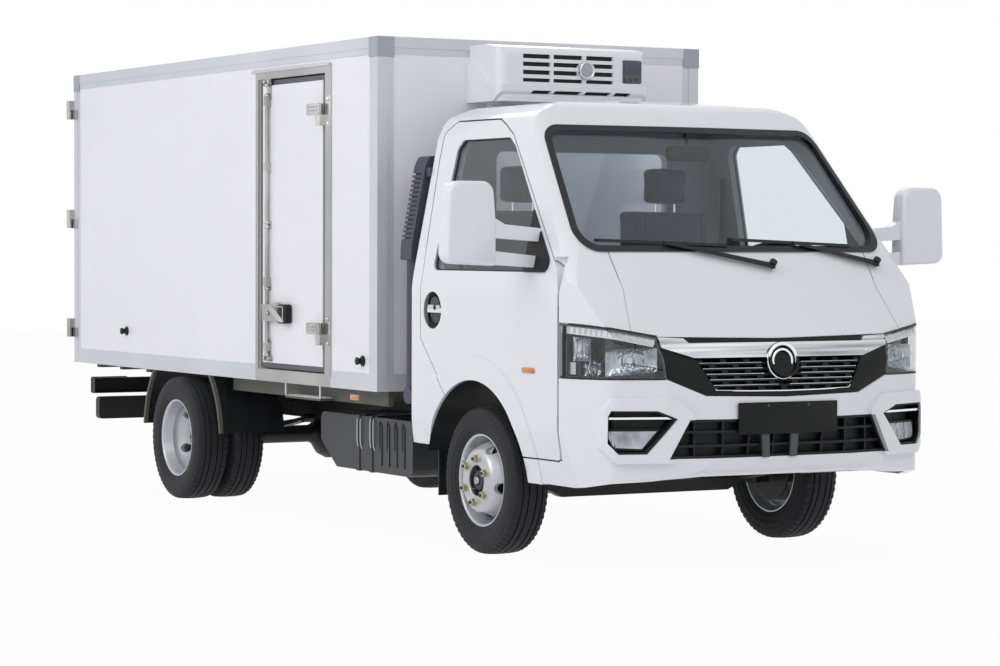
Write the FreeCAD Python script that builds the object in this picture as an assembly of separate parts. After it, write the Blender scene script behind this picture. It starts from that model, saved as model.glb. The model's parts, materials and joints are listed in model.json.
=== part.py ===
# Refrigerated truck: forward-control cab, ladder chassis, twin rear wheels and an insulated box body
import FreeCAD, Part
import math
import os
from FreeCAD import Vector, Rotation, Placement

# Axes: X to the truck's left, Y from the front bumper to the rear doors, Z up from the ground.
# The origin is on the ground at the middle of the overall length and width. Lengths in millimetres.

# Overall layout
FRONT_OVERHANG = 1165
WHEELBASE = 3308
REAR_OVERHANG = 1661
OVERALL_LENGTH = FRONT_OVERHANG + WHEELBASE + REAR_OVERHANG
FRONT_Y = -OVERALL_LENGTH / 2
FRONT_AXLE_Y = FRONT_Y + FRONT_OVERHANG
REAR_AXLE_Y = FRONT_AXLE_Y + WHEELBASE
REAR_Y = REAR_AXLE_Y + REAR_OVERHANG
OVERRUN = 5
SLIVER_VOLUME = 30000
STRAIGHT_TURN = 1e-6
SEAT_GAP = 0.3
RUNNING_GAP = 8

# Wheels and tyres
TYRE_RADIUS = 337
TYRE_WIDTH = 185
TREAD_WIDTH = 148
BEAD_RADIUS = 190
RIM_FLANGE_RADIUS = 210
RIM_WIDTH = 156
RIM_WALL = 6
RIM_WELL_RADIUS = 172
FRONT_TRACK = 1580
TWIN_SPACING = 213
REAR_TRACK = 1515
AXLE_Z = TYRE_RADIUS
DISC_THICKNESS = 10
HUB_BORE_RADIUS = 55
STUD_CIRCLE_RADIUS = 85
NUT_RADIUS = 17
NUT_HEIGHT = 24
NUT_COUNT = 6
HAND_HOLE_COUNT = 8
HAND_HOLE_RADIUS = 20
HAND_HOLE_CIRCLE = 136
FRONT_HUB_RADIUS = 50
FRONT_HUB_LENGTH = 62
REAR_HUB_LENGTH = 118
DRUM_RADIUS = 150
DRUM_LENGTH = 70

# Steering
KINGPIN_X = 618
KINGPIN_RADIUS = 16
KNUCKLE_EYE_RADIUS = 34
KNUCKLE_EYE_HEIGHT = 34
STUB_RADIUS = 24
STEER_ARM_REACH = 150
TIE_ROD_RADIUS = 12

# Chassis frame
RAIL_OUTER_X = 375
RAIL_TOP_Z = 598
RAIL_HEIGHT = 140
RAIL_FLANGE = 62
RAIL_WALL = 6
RAIL_FRONT_Y = FRONT_Y + 175
RAIL_REAR_Y = REAR_Y
CROSS_TUBE_HEIGHT = 60
CROSS_TUBE_DEPTH = 60
TOW_HOLE_X = 120
TOW_HOLE_Z = 70
TOW_HOLE_RADIUS = 7
SUBFRAME_TOP_Z = 728
SUBFRAME_WIDTH = 60

# Axles and springs
BEAM_DROP = 62
BEAM_HEIGHT = 58
BEAM_DEPTH = 52
SPRING_X = 430
SPRING_WIDTH = 56
SPRING_THICKNESS = 34
FRONT_SPRING_LENGTH = 1000
REAR_SPRING_LENGTH = 1180
SPRING_RISE = 70
SPRING_EYE_SHARE = 0.7
AXLE_TUBE_RADIUS = 48
DIFF_RADIUS = 140
PROP_RADIUS = 36
PROP_END_SHARE = 0.07

# Cab
CAB_LENGTH = 1771
CAB_BOTTOM_Z = 365
CAB_HEIGHT = 1703
CAB_HALF_WIDTH = 915
CAB_WALL = 48
CAB_BOW_RADIUS = 7300
CAB_REAR_Y = FRONT_Y + CAB_LENGTH
CAB_TOP_Z = CAB_BOTTOM_Z + CAB_HEIGHT
ARCH_RADIUS = 455
ARCH_INNER_X = 500
DOOR_GAP = 7
DOOR_PIN_INSET = 26
DOOR_PIN_SETBACK = 27
DOOR_HINGE_SHARES = (0.16, 0.437)
DOOR_RELIEF_SHARE = 0.58
DOOR_HINGE_HEIGHT = 60
DOOR_BARREL_RADIUS = 12
DOOR_ARM_REACH = 41
DOOR_PAD_LENGTH = 80
GLASS_THICKNESS = 5
GLASS_DEPTH = 14
SEAL_PROUD = 7
SEAM_WIDTH = 5
SEAM_DEPTH = 6
FLARE_WIDTH = 115
FLARE_PROUD = 8
HANDLE_RADIUS = 86
HANDLE_DEPTH = 24
HANDLE_BAR = 22
HANDLE_SHARES = (0.8765, 0.4316)

# Nose of the cab: lamps, grilles and bumper
LENS_THICKNESS = 4
LAMP_DEPTH = 80
LAMP_RIM = 10
BOWL_RADIUS = 40
BOWL_DEPTH = 34
BOWL_WALL = 3
LED_DEPTH = 10
LED_THICKNESS = 9
GRILLE_SET_BACK = 4
GRILLE_BACK = 5
SLAT_SET_BACK = 10
SLAT_HEIGHT = 9
SLAT_COUNT = 5
CELL_WIDTH = 30
CELL_PITCH = 118
BRIGHT_PROUD = 8
BRIGHT_DEPTH = 28
BOSS_RADIUS = 80
BOSS_RIM = 12
BOSS_PROUD = 16
BOSS_LEAN = 18
BOSS_SHARES = (0.027, 0.3183)
LOWER_BAR = 11
LOWER_POST = 7
LOWER_POST_COUNT = 9
FOG_FRAME_PROUD = 24
FOG_FRAME_CORNER = 30
FOG_RIM = 9
FOG_GLASS_DEPTH = 10
FOG_STRIP_HEIGHT = 9
WIPER_BLADE = 13
WIPER_BLADE_HEIGHT = 12
WIPER_ARM_WIDTHS = (24, 13)
WIPER_ARM_HEIGHT = 12
WIPER_PIVOT_RADIUS = 17

# Outline of the cab from the side, as shares of its length and height
CAB_SIDE_SHARES = [(0.060, 0.018), (0.014, 0.040), (0.000, 0.138), (0.003, 0.217), (0.025, 0.314),
                   (0.051, 0.373), (0.199, 0.593), (0.522, 0.984), (0.624, 1.000), (0.966, 1.000),
                   (1.000, 0.972), (1.000, 0.000), (0.150, 0.000)]
CAB_SIDE_RADIUS_SHARES = [0.01, 0.02, 0.04, 0.04, 0.06, 0.03, 0.10, 0.10, 0.12, 0.03, 0.02, 0.0, 0.0]

# Half outline of the cab from the front, as shares of its half width and height
CAB_FRONT_SHARES = [(0.960, 0.000), (0.996, 0.138), (1.000, 0.479), (0.838, 0.904), (0.788, 0.955),
                    (0.640, 0.988)]
CAB_FRONT_RADIUS_SHARES = [0.0, 0.15, 0.16, 0.05, 0.06, 0.10]

# Half outline of the cab from above, as shares of its half width and length
CAB_PLAN_SHARES = [(0.280, 0.000), (0.640, 0.040), (0.890, 0.085), (0.985, 0.195), (1.002, 0.250),
                   (1.002, 1.000)]
CAB_PLAN_RADIUS_SHARES = [0.25, 0.20, 0.10, 0.15, 0.10, 0.03]

# Box body
BOX_LENGTH = 3960
BOX_FRONT_Y = FRONT_AXLE_Y + 950
BOX_REAR_Y = BOX_FRONT_Y + BOX_LENGTH
BOX_HALF_WIDTH = 910
BOX_BOTTOM_Z = 695
BOX_TOP_Z = 2400
BOX_WALL = 80
BOX_FLOOR_BOTTOM_Z = SUBFRAME_TOP_Z
BOX_FLOOR_TOP_Z = 805
RAIL_TRIM = 84
TRIM_PROUD = 6
CORNER_POST = 83
TRIM_STEP_SHARE = 0.62
CAP_PROUD = 3
CAP_HEIGHT = 96

# Side door of the box
SIDE_FRAME_FRONT_Y = BOX_FRONT_Y + 499
SIDE_FRAME_REAR_Y = BOX_FRONT_Y + 1383
SIDE_FRAME_TOP_Z = 2296
SIDE_OPENING_FRONT_Y = BOX_FRONT_Y + 566
SIDE_OPENING_REAR_Y = BOX_FRONT_Y + 1348
SIDE_OPENING_BOTTOM_Z = 757
SIDE_OPENING_TOP_Z = 2252
SIDE_LEAF_FRONT_GAP = 34
SIDE_LEAF_REAR_GAP = 43
SIDE_LEAF_EDGE_GAP = 34
SIDE_PIN_X = BOX_HALF_WIDTH + 32
SIDE_HINGE_SHARES = (0.153, 0.792)
ROD_GUIDE_SHARES = (0.03, 0.28, 0.72, 0.97)
REAR_ROD_SHARES = (0.22, 0.72)
SIDE_PIN_SETBACK = 20

# Rear doors of the box
REAR_POST = 62
REAR_SILL_TOP_Z = 790
REAR_HEADER_Z = 2318
REAR_DOOR_GAP = 9
REAR_MIDDLE_GAP = 24
REAR_PIN_X = BOX_HALF_WIDTH + 27
REAR_PIN_Y = BOX_REAR_Y + 27
HINGE_PIN_RADIUS = 9
HINGE_BARREL_RADIUS = 15
HINGE_HEIGHT = 110
ROD_RADIUS = 11

# Refrigeration unit on the front of the box
UNIT_HALF_WIDTH = 425
UNIT_FRONT_Y = FRONT_AXLE_Y + 640
UNIT_BOTTOM_Z = 2092
UNIT_TOP_Z = 2370
UNIT_LEDGE_Z = 2178
UNIT_LEDGE_REAR_Z = 2284
UNIT_STEP = 10
UNIT_CORNER = 45
UNIT_SLOT_DEPTH = 34
UNIT_COLUMN_SHARES = [(-0.664, -0.306), (-0.264, 0.120), (0.169, 0.529)]
UNIT_ROW_SHARES = [(0.342, 0.406), (0.471, 0.547), (0.612, 0.687), (0.748, 0.824)]
UNIT_LOW_COLUMN_SHARES = [(-0.576, -0.315), (-0.285, 0.080), (0.122, 0.475), (0.518, 0.746)]
UNIT_LOW_ROW_SHARES = (0.137, 0.194)
UNIT_BOSS_SHARES = (0.160, 0.565)
UNIT_BOSS_RADIUS = 47
UNIT_PANEL_SHARES = (0.656, 0.925, 0.363, 0.780)
UNIT_FOOT_SHARE = 0.68
UNIT_FOOT_WIDTH = 60

# Cab openings, as shares of the cab's length and height
DOOR_FRONT_SHARE = 0.2372
DOOR_BOTTOM_SHARE = 0.0645
BUMPER_RETURN_SHARE = 0.412
DOOR_SHARES = [(0.2372, 0.0645), (0.2372, 0.490), (0.262, 0.550), (0.597, 0.900), (0.658, 0.928),
               (0.703, 0.9445), (0.929, 0.9455), (0.966, 0.919), (0.968, 0.843), (0.953, 0.608),
               (0.941, 0.459), (0.941, 0.355), (0.825, 0.230), (0.799, 0.205), (0.70, 0.0645)]
DOOR_WINDOW_SHARES = [(0.2705, 0.540), (0.576, 0.872), (0.610, 0.894), (0.855, 0.894), (0.880, 0.870),
                      (0.896, 0.540)]
LAMP_SHARES = [(0.6536, 0.380), (0.6284, 0.2748), (1.06, 0.2748), (1.06, 0.420)]
GRILLE_SHARES = [(0.0, 0.2267), (0.437, 0.2325), (0.6284, 0.2748), (0.6536, 0.380), (0.0, 0.3735)]
MESH_SHARES = [(0.0, 0.2420), (0.385, 0.2454), (0.480, 0.3260), (0.0, 0.3260)]
BRIGHT_SHARES = [(0.0, 0.3647), (0.497, 0.3647), (0.520, 0.3764), (0.6536, 0.380), (0.648, 0.3541),
                 (0.485, 0.3277), (0.0, 0.3277)]
BOWL_SHARES = [(0.905, 0.357, 0.95), (0.785, 0.345, 1.10), (0.895, 0.303, 0.82)]
LED_SHARES = [(0.991, 0.4090), (0.991, 0.3890), (0.6765, 0.3550), (0.663, 0.3775)]
LOWER_GRILLE_SHARES = [(0.632, 0.0757), (0.532, 0.1738)]
LOWER_BAR_SHARES = (0.107, 0.142)
FOG_FRAME_SHARES = [(0.923, 0.103), (0.915, 0.199), (0.891, 0.231), (0.599, 0.227), (0.500, 0.184),
                    (0.610, 0.066), (0.874, 0.066)]
FOG_POCKET_SHARES = [(0.893, 0.198), (0.904, 0.184), (0.905, 0.116), (0.863, 0.089), (0.728, 0.089),
                     (0.588, 0.176), (0.684, 0.197)]
FOG_GLASS_SHARES = [(0.896, 0.146), (0.671, 0.1456), (0.738, 0.1016), (0.863, 0.105)]
FOG_STRIP_SHARE = 0.1762
HOOD_SHARES = [(0.0, 0.30), (0.776, 0.30), (0.772, 0.4034), (0.735, 0.500), (0.742, 0.5766), (0.742, 0.96),
               (0.0, 0.96)]
WIPER_SHARES = [((0.1355, 0.5573), (-0.777, 0.6224), (-0.0874, 0.6107)),
                ((0.7934, 0.5631), (-0.040, 0.6254), (0.661, 0.6107))]
WIPER_JOINT_SHARE = 0.5
LAMP_LOW_SHARE = 0.2748
ROOF_LINE_SHARE = 0.945
BACK_PASSAGE_SHARE = 0.86
PILLAR_X_SHARE = 0.967
PILLAR_Y_SHARE = 0.226
PILLAR_Z_SHARE = 0.593
PILLAR_LEAN_X = 0.176
PILLAR_LEAN_Y = 0.861
PILLAR_RADIUS = 110
ROOF_CROWN_CLEARANCE = 6
DOOR_CORNER = 24
WINDOW_CORNER = 40
SCREEN_CORNER = 90
SCREEN_SEAL = 26
REAR_GLASS_HALF = 480
REAR_GLASS_SHARES = (0.60, 0.87)
SCREEN_TOP_SHARES = (0.792, 0.926)
SCREEN_LOW_SHARES = (0.90, 0.594)

# Inside of the cab
FLOOR_LOW_SHARE = 0.165
FLOOR_HIGH_SHARE = 0.305
FLOOR_STEP_SHARE = 0.40
FLOOR_THICKNESS = 40
CAB_MOUNT_SHARES = (0.30, 0.90)
SEAT_X = 400
SEAT_WIDTH = 520
SEAT_CUSHION = 200
SEAT_BACK_DEPTH = 190
SEAT_BACK_HEIGHT = 860
DASH_SHARES = [(0.16, 0.36), (0.16, 0.53), (0.28, 0.565), (0.36, 0.54), (0.37, 0.42), (0.30, 0.36)]
DASH_EDGE = 40
WHEEL_Y_SHARE = 0.46
WHEEL_Z_SHARE = 0.54
WHEEL_LEAN = 38
STEERING_WHEEL_RADIUS = 205
STEERING_RIM_RADIUS = 15
STEERING_RIM_SIDES = 8
STEERING_BOSS_RADIUS = 60
STEERING_COLUMN_LENGTH = 330

# Mirrors, with outlines as shares of their reach and height
MIRROR_FOOT_X = 840
MIRROR_REACH = 502
MIRROR_Y = FRONT_AXLE_Y - 488
MIRROR_DEPTH = 92
MIRROR_ARM_DEPTH = 54
MIRROR_LOW_Z = 1301
MIRROR_HEIGHT = 377
MIRROR_EDGE = 16
MIRROR_HEAD_SHARES = [(0.992, 0.056), (0.967, 1.0), (0.532, 1.0), (0.502, 0.528), (0.502, 0.030)]
MIRROR_HEAD_RADIUS_SHARES = [0.10, 0.12, 0.11, 0.05, 0.02]
MIRROR_ARM_SHARES = [[(0.56, 0.62), (0.40, 0.507), (0.0, 0.459), (0.0, 0.305), (0.56, 0.353)],
                     [(0.56, 0.207), (0.0, 0.133), (0.0, 0.0), (0.56, 0.045)]]
SAIL_REACH = 262
SAIL_PROUD = 8

# Air intake behind the cab, with its outline as shares of its width and height
INTAKE_OUT_X = 893
INTAKE_WIDTH = 180
INTAKE_LOW_Z = 1330
INTAKE_HEIGHT = 492
INTAKE_DEPTH = 110
INTAKE_GAP = 42
INTAKE_SHARES = [(0.98, 0.0), (0.95, 0.17), (0.56, 0.90), (0.44, 1.0), (0.12, 1.0), (0.0, 0.92),
                 (0.42, 0.17), (0.42, 0.0)]
INTAKE_RADIUS_SHARES = [0.02, 0.10, 0.08, 0.06, 0.06, 0.10, 0.10, 0.02]
INTAKE_PIPE_RADIUS = 42
INTAKE_PIPE_LOW_Z = 690
INTAKE_RIB_SPAN = (0.20, 0.86)
INTAKE_PIPE_SHARE = 0.32
INTAKE_BRACKET_SHARES = [(0.342, 0.12), (0.58, 0.80)]
INTAKE_RIB_COUNT = 15
INTAKE_RIB = 9

# Engine and gearbox
ENGINE_HALF_WIDTH = 225
ENGINE_FRONT_Y = FRONT_AXLE_Y - 330
ENGINE_REAR_Y = FRONT_AXLE_Y + 340
ENGINE_BOTTOM_Z = 400
ENGINE_TOP_Z = 790
GEARBOX_RADIUS = 105
GEARBOX_LENGTH = 420
GEARBOX_Z = 480

# Under the box
TANK_GAP = 20
TANK_WIDTH = 310
TANK_LENGTH = 1010
TANK_HEIGHT = 273
TANK_FRONT_Y = FRONT_AXLE_Y + 975
TANK_BOTTOM_Z = 272
TANK_CORNER = 36
TANK_SHARES = [(0.0, 0.0), (0.0, 1.0), (1.0, 1.0), (1.0, 0.47), (0.82, 0.0)]
TANK_STRAP_SHARES = (0.42, 0.56)
TANK_STRAP_WIDTH = 34
TANK_STRAP_PROUD = 4
TANK_RIB_SHARES = (0.08, 0.16, 0.24, 0.32)
TANK_RIB_WIDTH = 14
CASE_LENGTH = 420
BEARER_HEIGHT = 60
BEARER_WIDTH = 50
BEARER_SHARES = (0.01, 0.10, 0.19, 0.28, 0.37, 0.455, 0.76, 0.86, 0.95)
SIDE_MEMBER_WIDTH = 30
SIDE_MEMBER_LOW_Z = 620
SIDE_MEMBER_REAR_SHARE = 0.455
STEP_FRONT_Y = FRONT_AXLE_Y + 1582
STEP_LENGTH = 410
STEP_WIDTH = 76
STEP_THICKNESS = 12
GUARD_RADIUS = 520
GUARD_INNER_X = 536
GUARD_OUTER_X = 918
GUARD_THICKNESS = 6
GUARD_BAND = 20
GUARD_RIB_SHARES = (0.2, 0.5, 0.8)
GUARD_RIB_WIDTH = 16
GUARD_STAY_Z = 565
FLAP_THICKNESS = 8
GUARD_LOW_Z = 388
FRONT_FLAP_SETBACK = 436
FRONT_FLAP_WIDTH = 300
FRONT_FLAP_X = 850
FLAP_STAY_RADIUS = 9
FRONT_FLAP_TOP_Z = 520
FRONT_FLAP_BOTTOM_Z = 235
UNDERRUN_SETBACK = 258
UNDERRUN_HALF = 860
UNDERRUN_DEPTH = 55
UNDERRUN_HEIGHT = 130
UNDERRUN_BOTTOM_Z = 366
UNDERRUN_CORNER = 22
UNDERRUN_STAY = 8
LAMP_BEAM_SETBACK = 139
LAMP_BEAM_LOW_Z = 514
LAMP_BEAM_HEIGHT = 91
LAMP_BEAM_DEPTH = 46
LAMP_BEAM_WALL = 5
MIDDLE_LIP_GAP = 4
LIP_DEPTH = 15
PIN_PLAY = 0.05
STEER_ARM_WIDTH = 40
STEER_ARM_THICKNESS = 16
BAND_HALF = 15

TRUCK = {}
CAB_FORMS = {}
CAB_LAYERS = {}


def inset(points, distance):
    """Points of a closed outline moved inwards by one distance"""
    area = sum(a[0] * b[1] - b[0] * a[1] for a, b in zip(points, points[1:] + points[:1]))
    sign = 1 if area > 0 else -1
    lines = []
    for a, b in zip(points, points[1:] + points[:1]):
        length = math.hypot(b[0] - a[0], b[1] - a[1])
        normal = (-(b[1] - a[1]) / length * sign, (b[0] - a[0]) / length * sign)
        start = (a[0] + normal[0] * distance, a[1] + normal[1] * distance)
        lines.append((start, ((b[0] - a[0]) / length, (b[1] - a[1]) / length)))
    moved = []
    for (p, d), (q, e) in zip(lines[-1:] + lines[:-1], lines):
        cross = d[0] * e[1] - d[1] * e[0]
        straight = abs(cross) < STRAIGHT_TURN
        along = 0 if straight else ((q[0] - p[0]) * e[1] - (q[1] - p[1]) * e[0]) / cross
        moved.append(q if straight else (p[0] + d[0] * along, p[1] + d[1] * along))
    return moved


def outline_face(points, radii, place):
    """Flat face whose corners are rounded by tangent arcs"""
    if not isinstance(radii, (list, tuple)):
        radii = [radii] * len(points)
    count = len(points)
    starts, mids, ends = [], [], []
    for i in range(count):
        p, a, b = points[i], points[i - 1], points[(i + 1) % count]
        to_a, to_b = (a[0] - p[0], a[1] - p[1]), (b[0] - p[0], b[1] - p[1])
        length_a, length_b = math.hypot(*to_a), math.hypot(*to_b)
        to_a = (to_a[0] / length_a, to_a[1] / length_a)
        to_b = (to_b[0] / length_b, to_b[1] / length_b)
        half = math.acos(max(-1, min(1, to_a[0] * to_b[0] + to_a[1] * to_b[1]))) / 2
        radius = min(radii[i], min(length_a, length_b) * 0.48 * math.tan(half))
        if radius <= 0 or math.pi / 2 - half < math.radians(1):
            starts.append(p), mids.append(None), ends.append(p)
            continue
        reach = radius / math.tan(half)
        middle = (to_a[0] + to_b[0], to_a[1] + to_b[1])
        size = math.hypot(*middle)
        deep = radius / math.sin(half) - radius
        starts.append((p[0] + to_a[0] * reach, p[1] + to_a[1] * reach))
        ends.append((p[0] + to_b[0] * reach, p[1] + to_b[1] * reach))
        mids.append((p[0] + middle[0] / size * deep, p[1] + middle[1] / size * deep))
    edges = []
    for i in range(count):
        if mids[i]:
            edges.append(Part.Arc(place(*starts[i]), place(*mids[i]), place(*ends[i])).toShape())
        following = starts[(i + 1) % count]
        if math.hypot(following[0] - ends[i][0], following[1] - ends[i][1]) > SEAT_GAP / 100:
            edges.append(Part.LineSegment(place(*ends[i]), place(*following)).toShape())
    return Part.Face(Part.Wire(edges))


def prism_x(points, x0, x1, radii=0):
    """Outline in Y and Z carried along X"""
    return outline_face(points, radii, lambda y, z: Vector(x0, y, z)).extrude(Vector(x1 - x0, 0, 0))


def prism_y(points, y0, y1, radii=0):
    """Outline in X and Z carried along Y"""
    return outline_face(points, radii, lambda x, z: Vector(x, y0, z)).extrude(Vector(0, y1 - y0, 0))


def prism_z(points, z0, z1, radii=0):
    """Outline in X and Y carried along Z"""
    return outline_face(points, radii, lambda x, y: Vector(x, y, z0)).extrude(Vector(0, 0, z1 - z0))


def block(x0, x1, y0, y1, z0, z1):
    """Straight block between two corners"""
    low = Vector(min(x0, x1), min(y0, y1), min(z0, z1))
    return Part.makeBox(abs(x1 - x0), abs(y1 - y0), abs(z1 - z0), low)


def rod(radius, start, end):
    """Round bar between two points"""
    way = end - start
    return Part.makeCylinder(radius, way.Length, start, way)


def ring(outer, inner, start, end):
    """Round tube between two points"""
    return rod(outer, start, end).cut(rod(inner, start, end))


def mirrored(shape):
    """Twin of a shape on the other side of the truck"""
    return shape.mirror(Vector(0, 0, 0), Vector(1, 0, 0))


def scaled(shares, origin, spans):
    """Outline points from shares of two sizes"""
    return [(origin[0] + a * spans[0], origin[1] + b * spans[1]) for a, b in shares]


def whole(half):
    """Closed outline from its half on one side of the middle line"""
    return half + [(-x, z) for x, z in reversed(half) if x != 0]


def keep(name, *shapes):
    """Store the solids of one sub-part"""
    TRUCK.setdefault(name, [])
    for shape in shapes:
        TRUCK[name].extend(shape.Solids)


def turned(profile, centre):
    """Solid turned about a wheel's axis from points of (offset along X, radius)"""
    wire = Part.makePolygon([Vector(x, 0, r) for x, r in profile + profile[:1]])
    solid = Part.Face(wire).revolve(Vector(0, 0, 0), Vector(1, 0, 0), 360)
    return solid.translated(centre)


def tyre(centre):
    """Tyre with rounded shoulders, open to the rim"""
    half, tread, shoulder = TYRE_WIDTH / 2, TREAD_WIDTH / 2, TYRE_RADIUS * 0.965
    waist = (TYRE_RADIUS + BEAD_RADIUS) / 2
    bead = RIM_WIDTH / 2 - RIM_WALL - SEAT_GAP
    lip = RIM_WIDTH / 2
    above = RIM_FLANGE_RADIUS + SEAT_GAP
    right = [(bead, BEAD_RADIUS), (bead, above), (lip, above), (half, waist), (half * 0.97, shoulder * 0.96),
             (tread, shoulder), (tread * 0.8, TYRE_RADIUS)]
    profile = right + [(-x, r) for x, r in reversed(right)]
    return turned(profile, centre)


def rim(centre, side, face_x, dish_x):
    """Steel rim with its well and its disc, which meets the hub at dish_x from the middle"""
    half = RIM_WIDTH / 2
    seat = BEAD_RADIUS - SEAT_GAP
    barrel = [(-half, RIM_FLANGE_RADIUS), (-half + RIM_WALL, RIM_FLANGE_RADIUS), (-half + RIM_WALL, seat),
              (-half * 0.5, seat), (-half * 0.3, RIM_WELL_RADIUS), (half * 0.3, RIM_WELL_RADIUS),
              (half * 0.5, seat), (half - RIM_WALL, seat), (half - RIM_WALL, RIM_FLANGE_RADIUS),
              (half, RIM_FLANGE_RADIUS), (half, seat - RIM_WALL), (half * 0.5, seat - RIM_WALL),
              (half * 0.3, RIM_WELL_RADIUS - RIM_WALL), (-half * 0.3, RIM_WELL_RADIUS - RIM_WALL),
              (-half * 0.5, seat - RIM_WALL), (-half, seat - RIM_WALL)]
    hub_edge = STUD_CIRCLE_RADIUS + NUT_RADIUS * 1.6
    outer = RIM_WELL_RADIUS - RIM_WALL + RIM_WALL / 2
    disc = [(dish_x, HUB_BORE_RADIUS), (dish_x, hub_edge), (face_x, HAND_HOLE_CIRCLE),
            (0, outer), (-DISC_THICKNESS, outer), (face_x - DISC_THICKNESS, HAND_HOLE_CIRCLE - RIM_WALL),
            (dish_x - DISC_THICKNESS, hub_edge - RIM_WALL), (dish_x - DISC_THICKNESS, HUB_BORE_RADIUS)]
    barrel = turned([(x * side, r) for x, r in barrel], Vector(0, 0, 0))
    disc = turned([(x * side, r) for x, r in disc], Vector(0, 0, 0))
    for i in range(HAND_HOLE_COUNT):
        angle = 2 * math.pi * i / HAND_HOLE_COUNT
        spot = Vector(0, math.sin(angle), math.cos(angle)) * HAND_HOLE_CIRCLE
        reach = Vector(RIM_WIDTH, 0, 0)
        disc = disc.cut(rod(HAND_HOLE_RADIUS, spot - reach, spot + reach))
    return barrel.fuse(disc).removeSplitter().translated(centre)


def nuts(centre, side, seat_x):
    """Hexagonal wheel nuts on their circle"""
    made = []
    start = centre.x + side * seat_x
    for i in range(NUT_COUNT):
        angle = 2 * math.pi * (i + 0.5) / NUT_COUNT
        y = centre.y + math.sin(angle) * STUD_CIRCLE_RADIUS
        z = centre.z + math.cos(angle) * STUD_CIRCLE_RADIUS
        turns = [math.pi * k / 3 for k in range(6)]
        corners = [(y + NUT_RADIUS * math.cos(turn), z + NUT_RADIUS * math.sin(turn)) for turn in turns]
        made.append(prism_x(corners, start, start + side * NUT_HEIGHT))
    return made


def front_wheels():
    """Single steered wheels with their hubs"""
    face, dish = RIM_WIDTH * 0.42, RIM_WIDTH * 0.50
    for side, name in ((-1, "right"), (1, "left")):
        centre = Vector(side * FRONT_TRACK / 2, FRONT_AXLE_Y, AXLE_Z)
        keep("tyre_front_" + name, tyre(centre))
        back = centre + Vector(side * (dish - DISC_THICKNESS - FRONT_HUB_LENGTH), 0, 0)
        seat = centre + Vector(side * (dish - DISC_THICKNESS), 0, 0)
        tip = centre + Vector(side * (dish + NUT_HEIGHT * 1.6), 0, 0)
        flange = rod(HUB_BORE_RADIUS + NUT_RADIUS * 3, back, seat)
        hub = flange.fuse(rod(FRONT_HUB_RADIUS, seat, tip))
        drum = rod(DRUM_RADIUS, back - Vector(side * DRUM_LENGTH, 0, 0), back)
        bore = rod(STUB_RADIUS + SEAT_GAP, back - Vector(side * DRUM_LENGTH, 0, 0), seat)
        disc = rim(centre, side, face, dish)
        wheel = disc.fuse([hub, drum] + nuts(centre, side, dish)).cut(bore)
        keep("wheel_front_" + name, wheel.removeSplitter())


def rear_wheels():
    """Twin wheels on each side, back to back on one hub"""
    for side, name in ((-1, "right"), (1, "left")):
        middle = Vector(side * REAR_TRACK / 2, REAR_AXLE_Y, AXLE_Z)
        outer = middle + Vector(side * TWIN_SPACING / 2, 0, 0)
        inner = middle - Vector(side * TWIN_SPACING / 2, 0, 0)
        dish = TWIN_SPACING / 2 - DISC_THICKNESS
        face = dish * 0.8
        keep("tyres_rear_" + name, tyre(outer), tyre(inner))
        depth = dish + DISC_THICKNESS
        discs = rim(outer, -side, face, depth).fuse(rim(inner, side, face, depth))
        start = middle - Vector(side * (DISC_THICKNESS + REAR_HUB_LENGTH), 0, 0)
        tip = middle + Vector(side * REAR_HUB_LENGTH, 0, 0)
        seat = middle - Vector(side * DISC_THICKNESS, 0, 0)
        hub = rod(FRONT_HUB_RADIUS, start, tip).fuse(
            rod(STUD_CIRCLE_RADIUS + NUT_RADIUS, start, seat))
        keep("wheels_rear_" + name, discs.fuse([hub] + nuts(middle, side, DISC_THICKNESS)).removeSplitter())



def frame_rails():
    """Two channel rails, open towards each other"""
    low, top = RAIL_TOP_Z - RAIL_HEIGHT, RAIL_TOP_Z
    inner = RAIL_OUTER_X - RAIL_FLANGE
    web = RAIL_OUTER_X - RAIL_WALL
    channel = [(RAIL_OUTER_X, low), (RAIL_OUTER_X, top), (inner, top), (inner, top - RAIL_WALL),
               (web, top - RAIL_WALL), (web, low + RAIL_WALL), (inner, low + RAIL_WALL), (inner, low)]
    rail = prism_y(channel, RAIL_FRONT_Y, RAIL_REAR_Y)
    rail = rail.fuse([hanger for hanger in spring_hangers()]).removeSplitter()
    keep("frame_rails", rail, mirrored(rail))


def frame_crossmembers():
    """Box tubes that tie the rails together, at shares of the wheelbase behind the front axle"""
    web = RAIL_OUTER_X - RAIL_WALL
    low = RAIL_TOP_Z - RAIL_WALL - CROSS_TUBE_HEIGHT
    cross_shares = [-0.24, 0.30, 0.52, 0.74, 1.16, 1.34]
    for share in cross_shares:
        y = FRONT_AXLE_Y + WHEELBASE * share
        keep("frame_crossmembers", block(-web, web, y, y + CROSS_TUBE_DEPTH, low, low + CROSS_TUBE_HEIGHT))
    end = block(-web, web, RAIL_REAR_Y - RAIL_WALL * 2, RAIL_REAR_Y,
                RAIL_TOP_Z - RAIL_HEIGHT + RAIL_WALL, RAIL_TOP_Z - RAIL_WALL)
    middle = RAIL_TOP_Z - RAIL_HEIGHT / 2
    for x in (-TOW_HOLE_X / 2, TOW_HOLE_X / 2):
        for z in (middle - TOW_HOLE_Z / 2, middle + TOW_HOLE_Z / 2):
            start, stop = Vector(x, RAIL_REAR_Y - RAIL_WALL * 3, z), Vector(x, RAIL_REAR_Y + OVERRUN, z)
            end = end.cut(rod(TOW_HOLE_RADIUS, start, stop))
    keep("frame_crossmembers", end)


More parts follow.
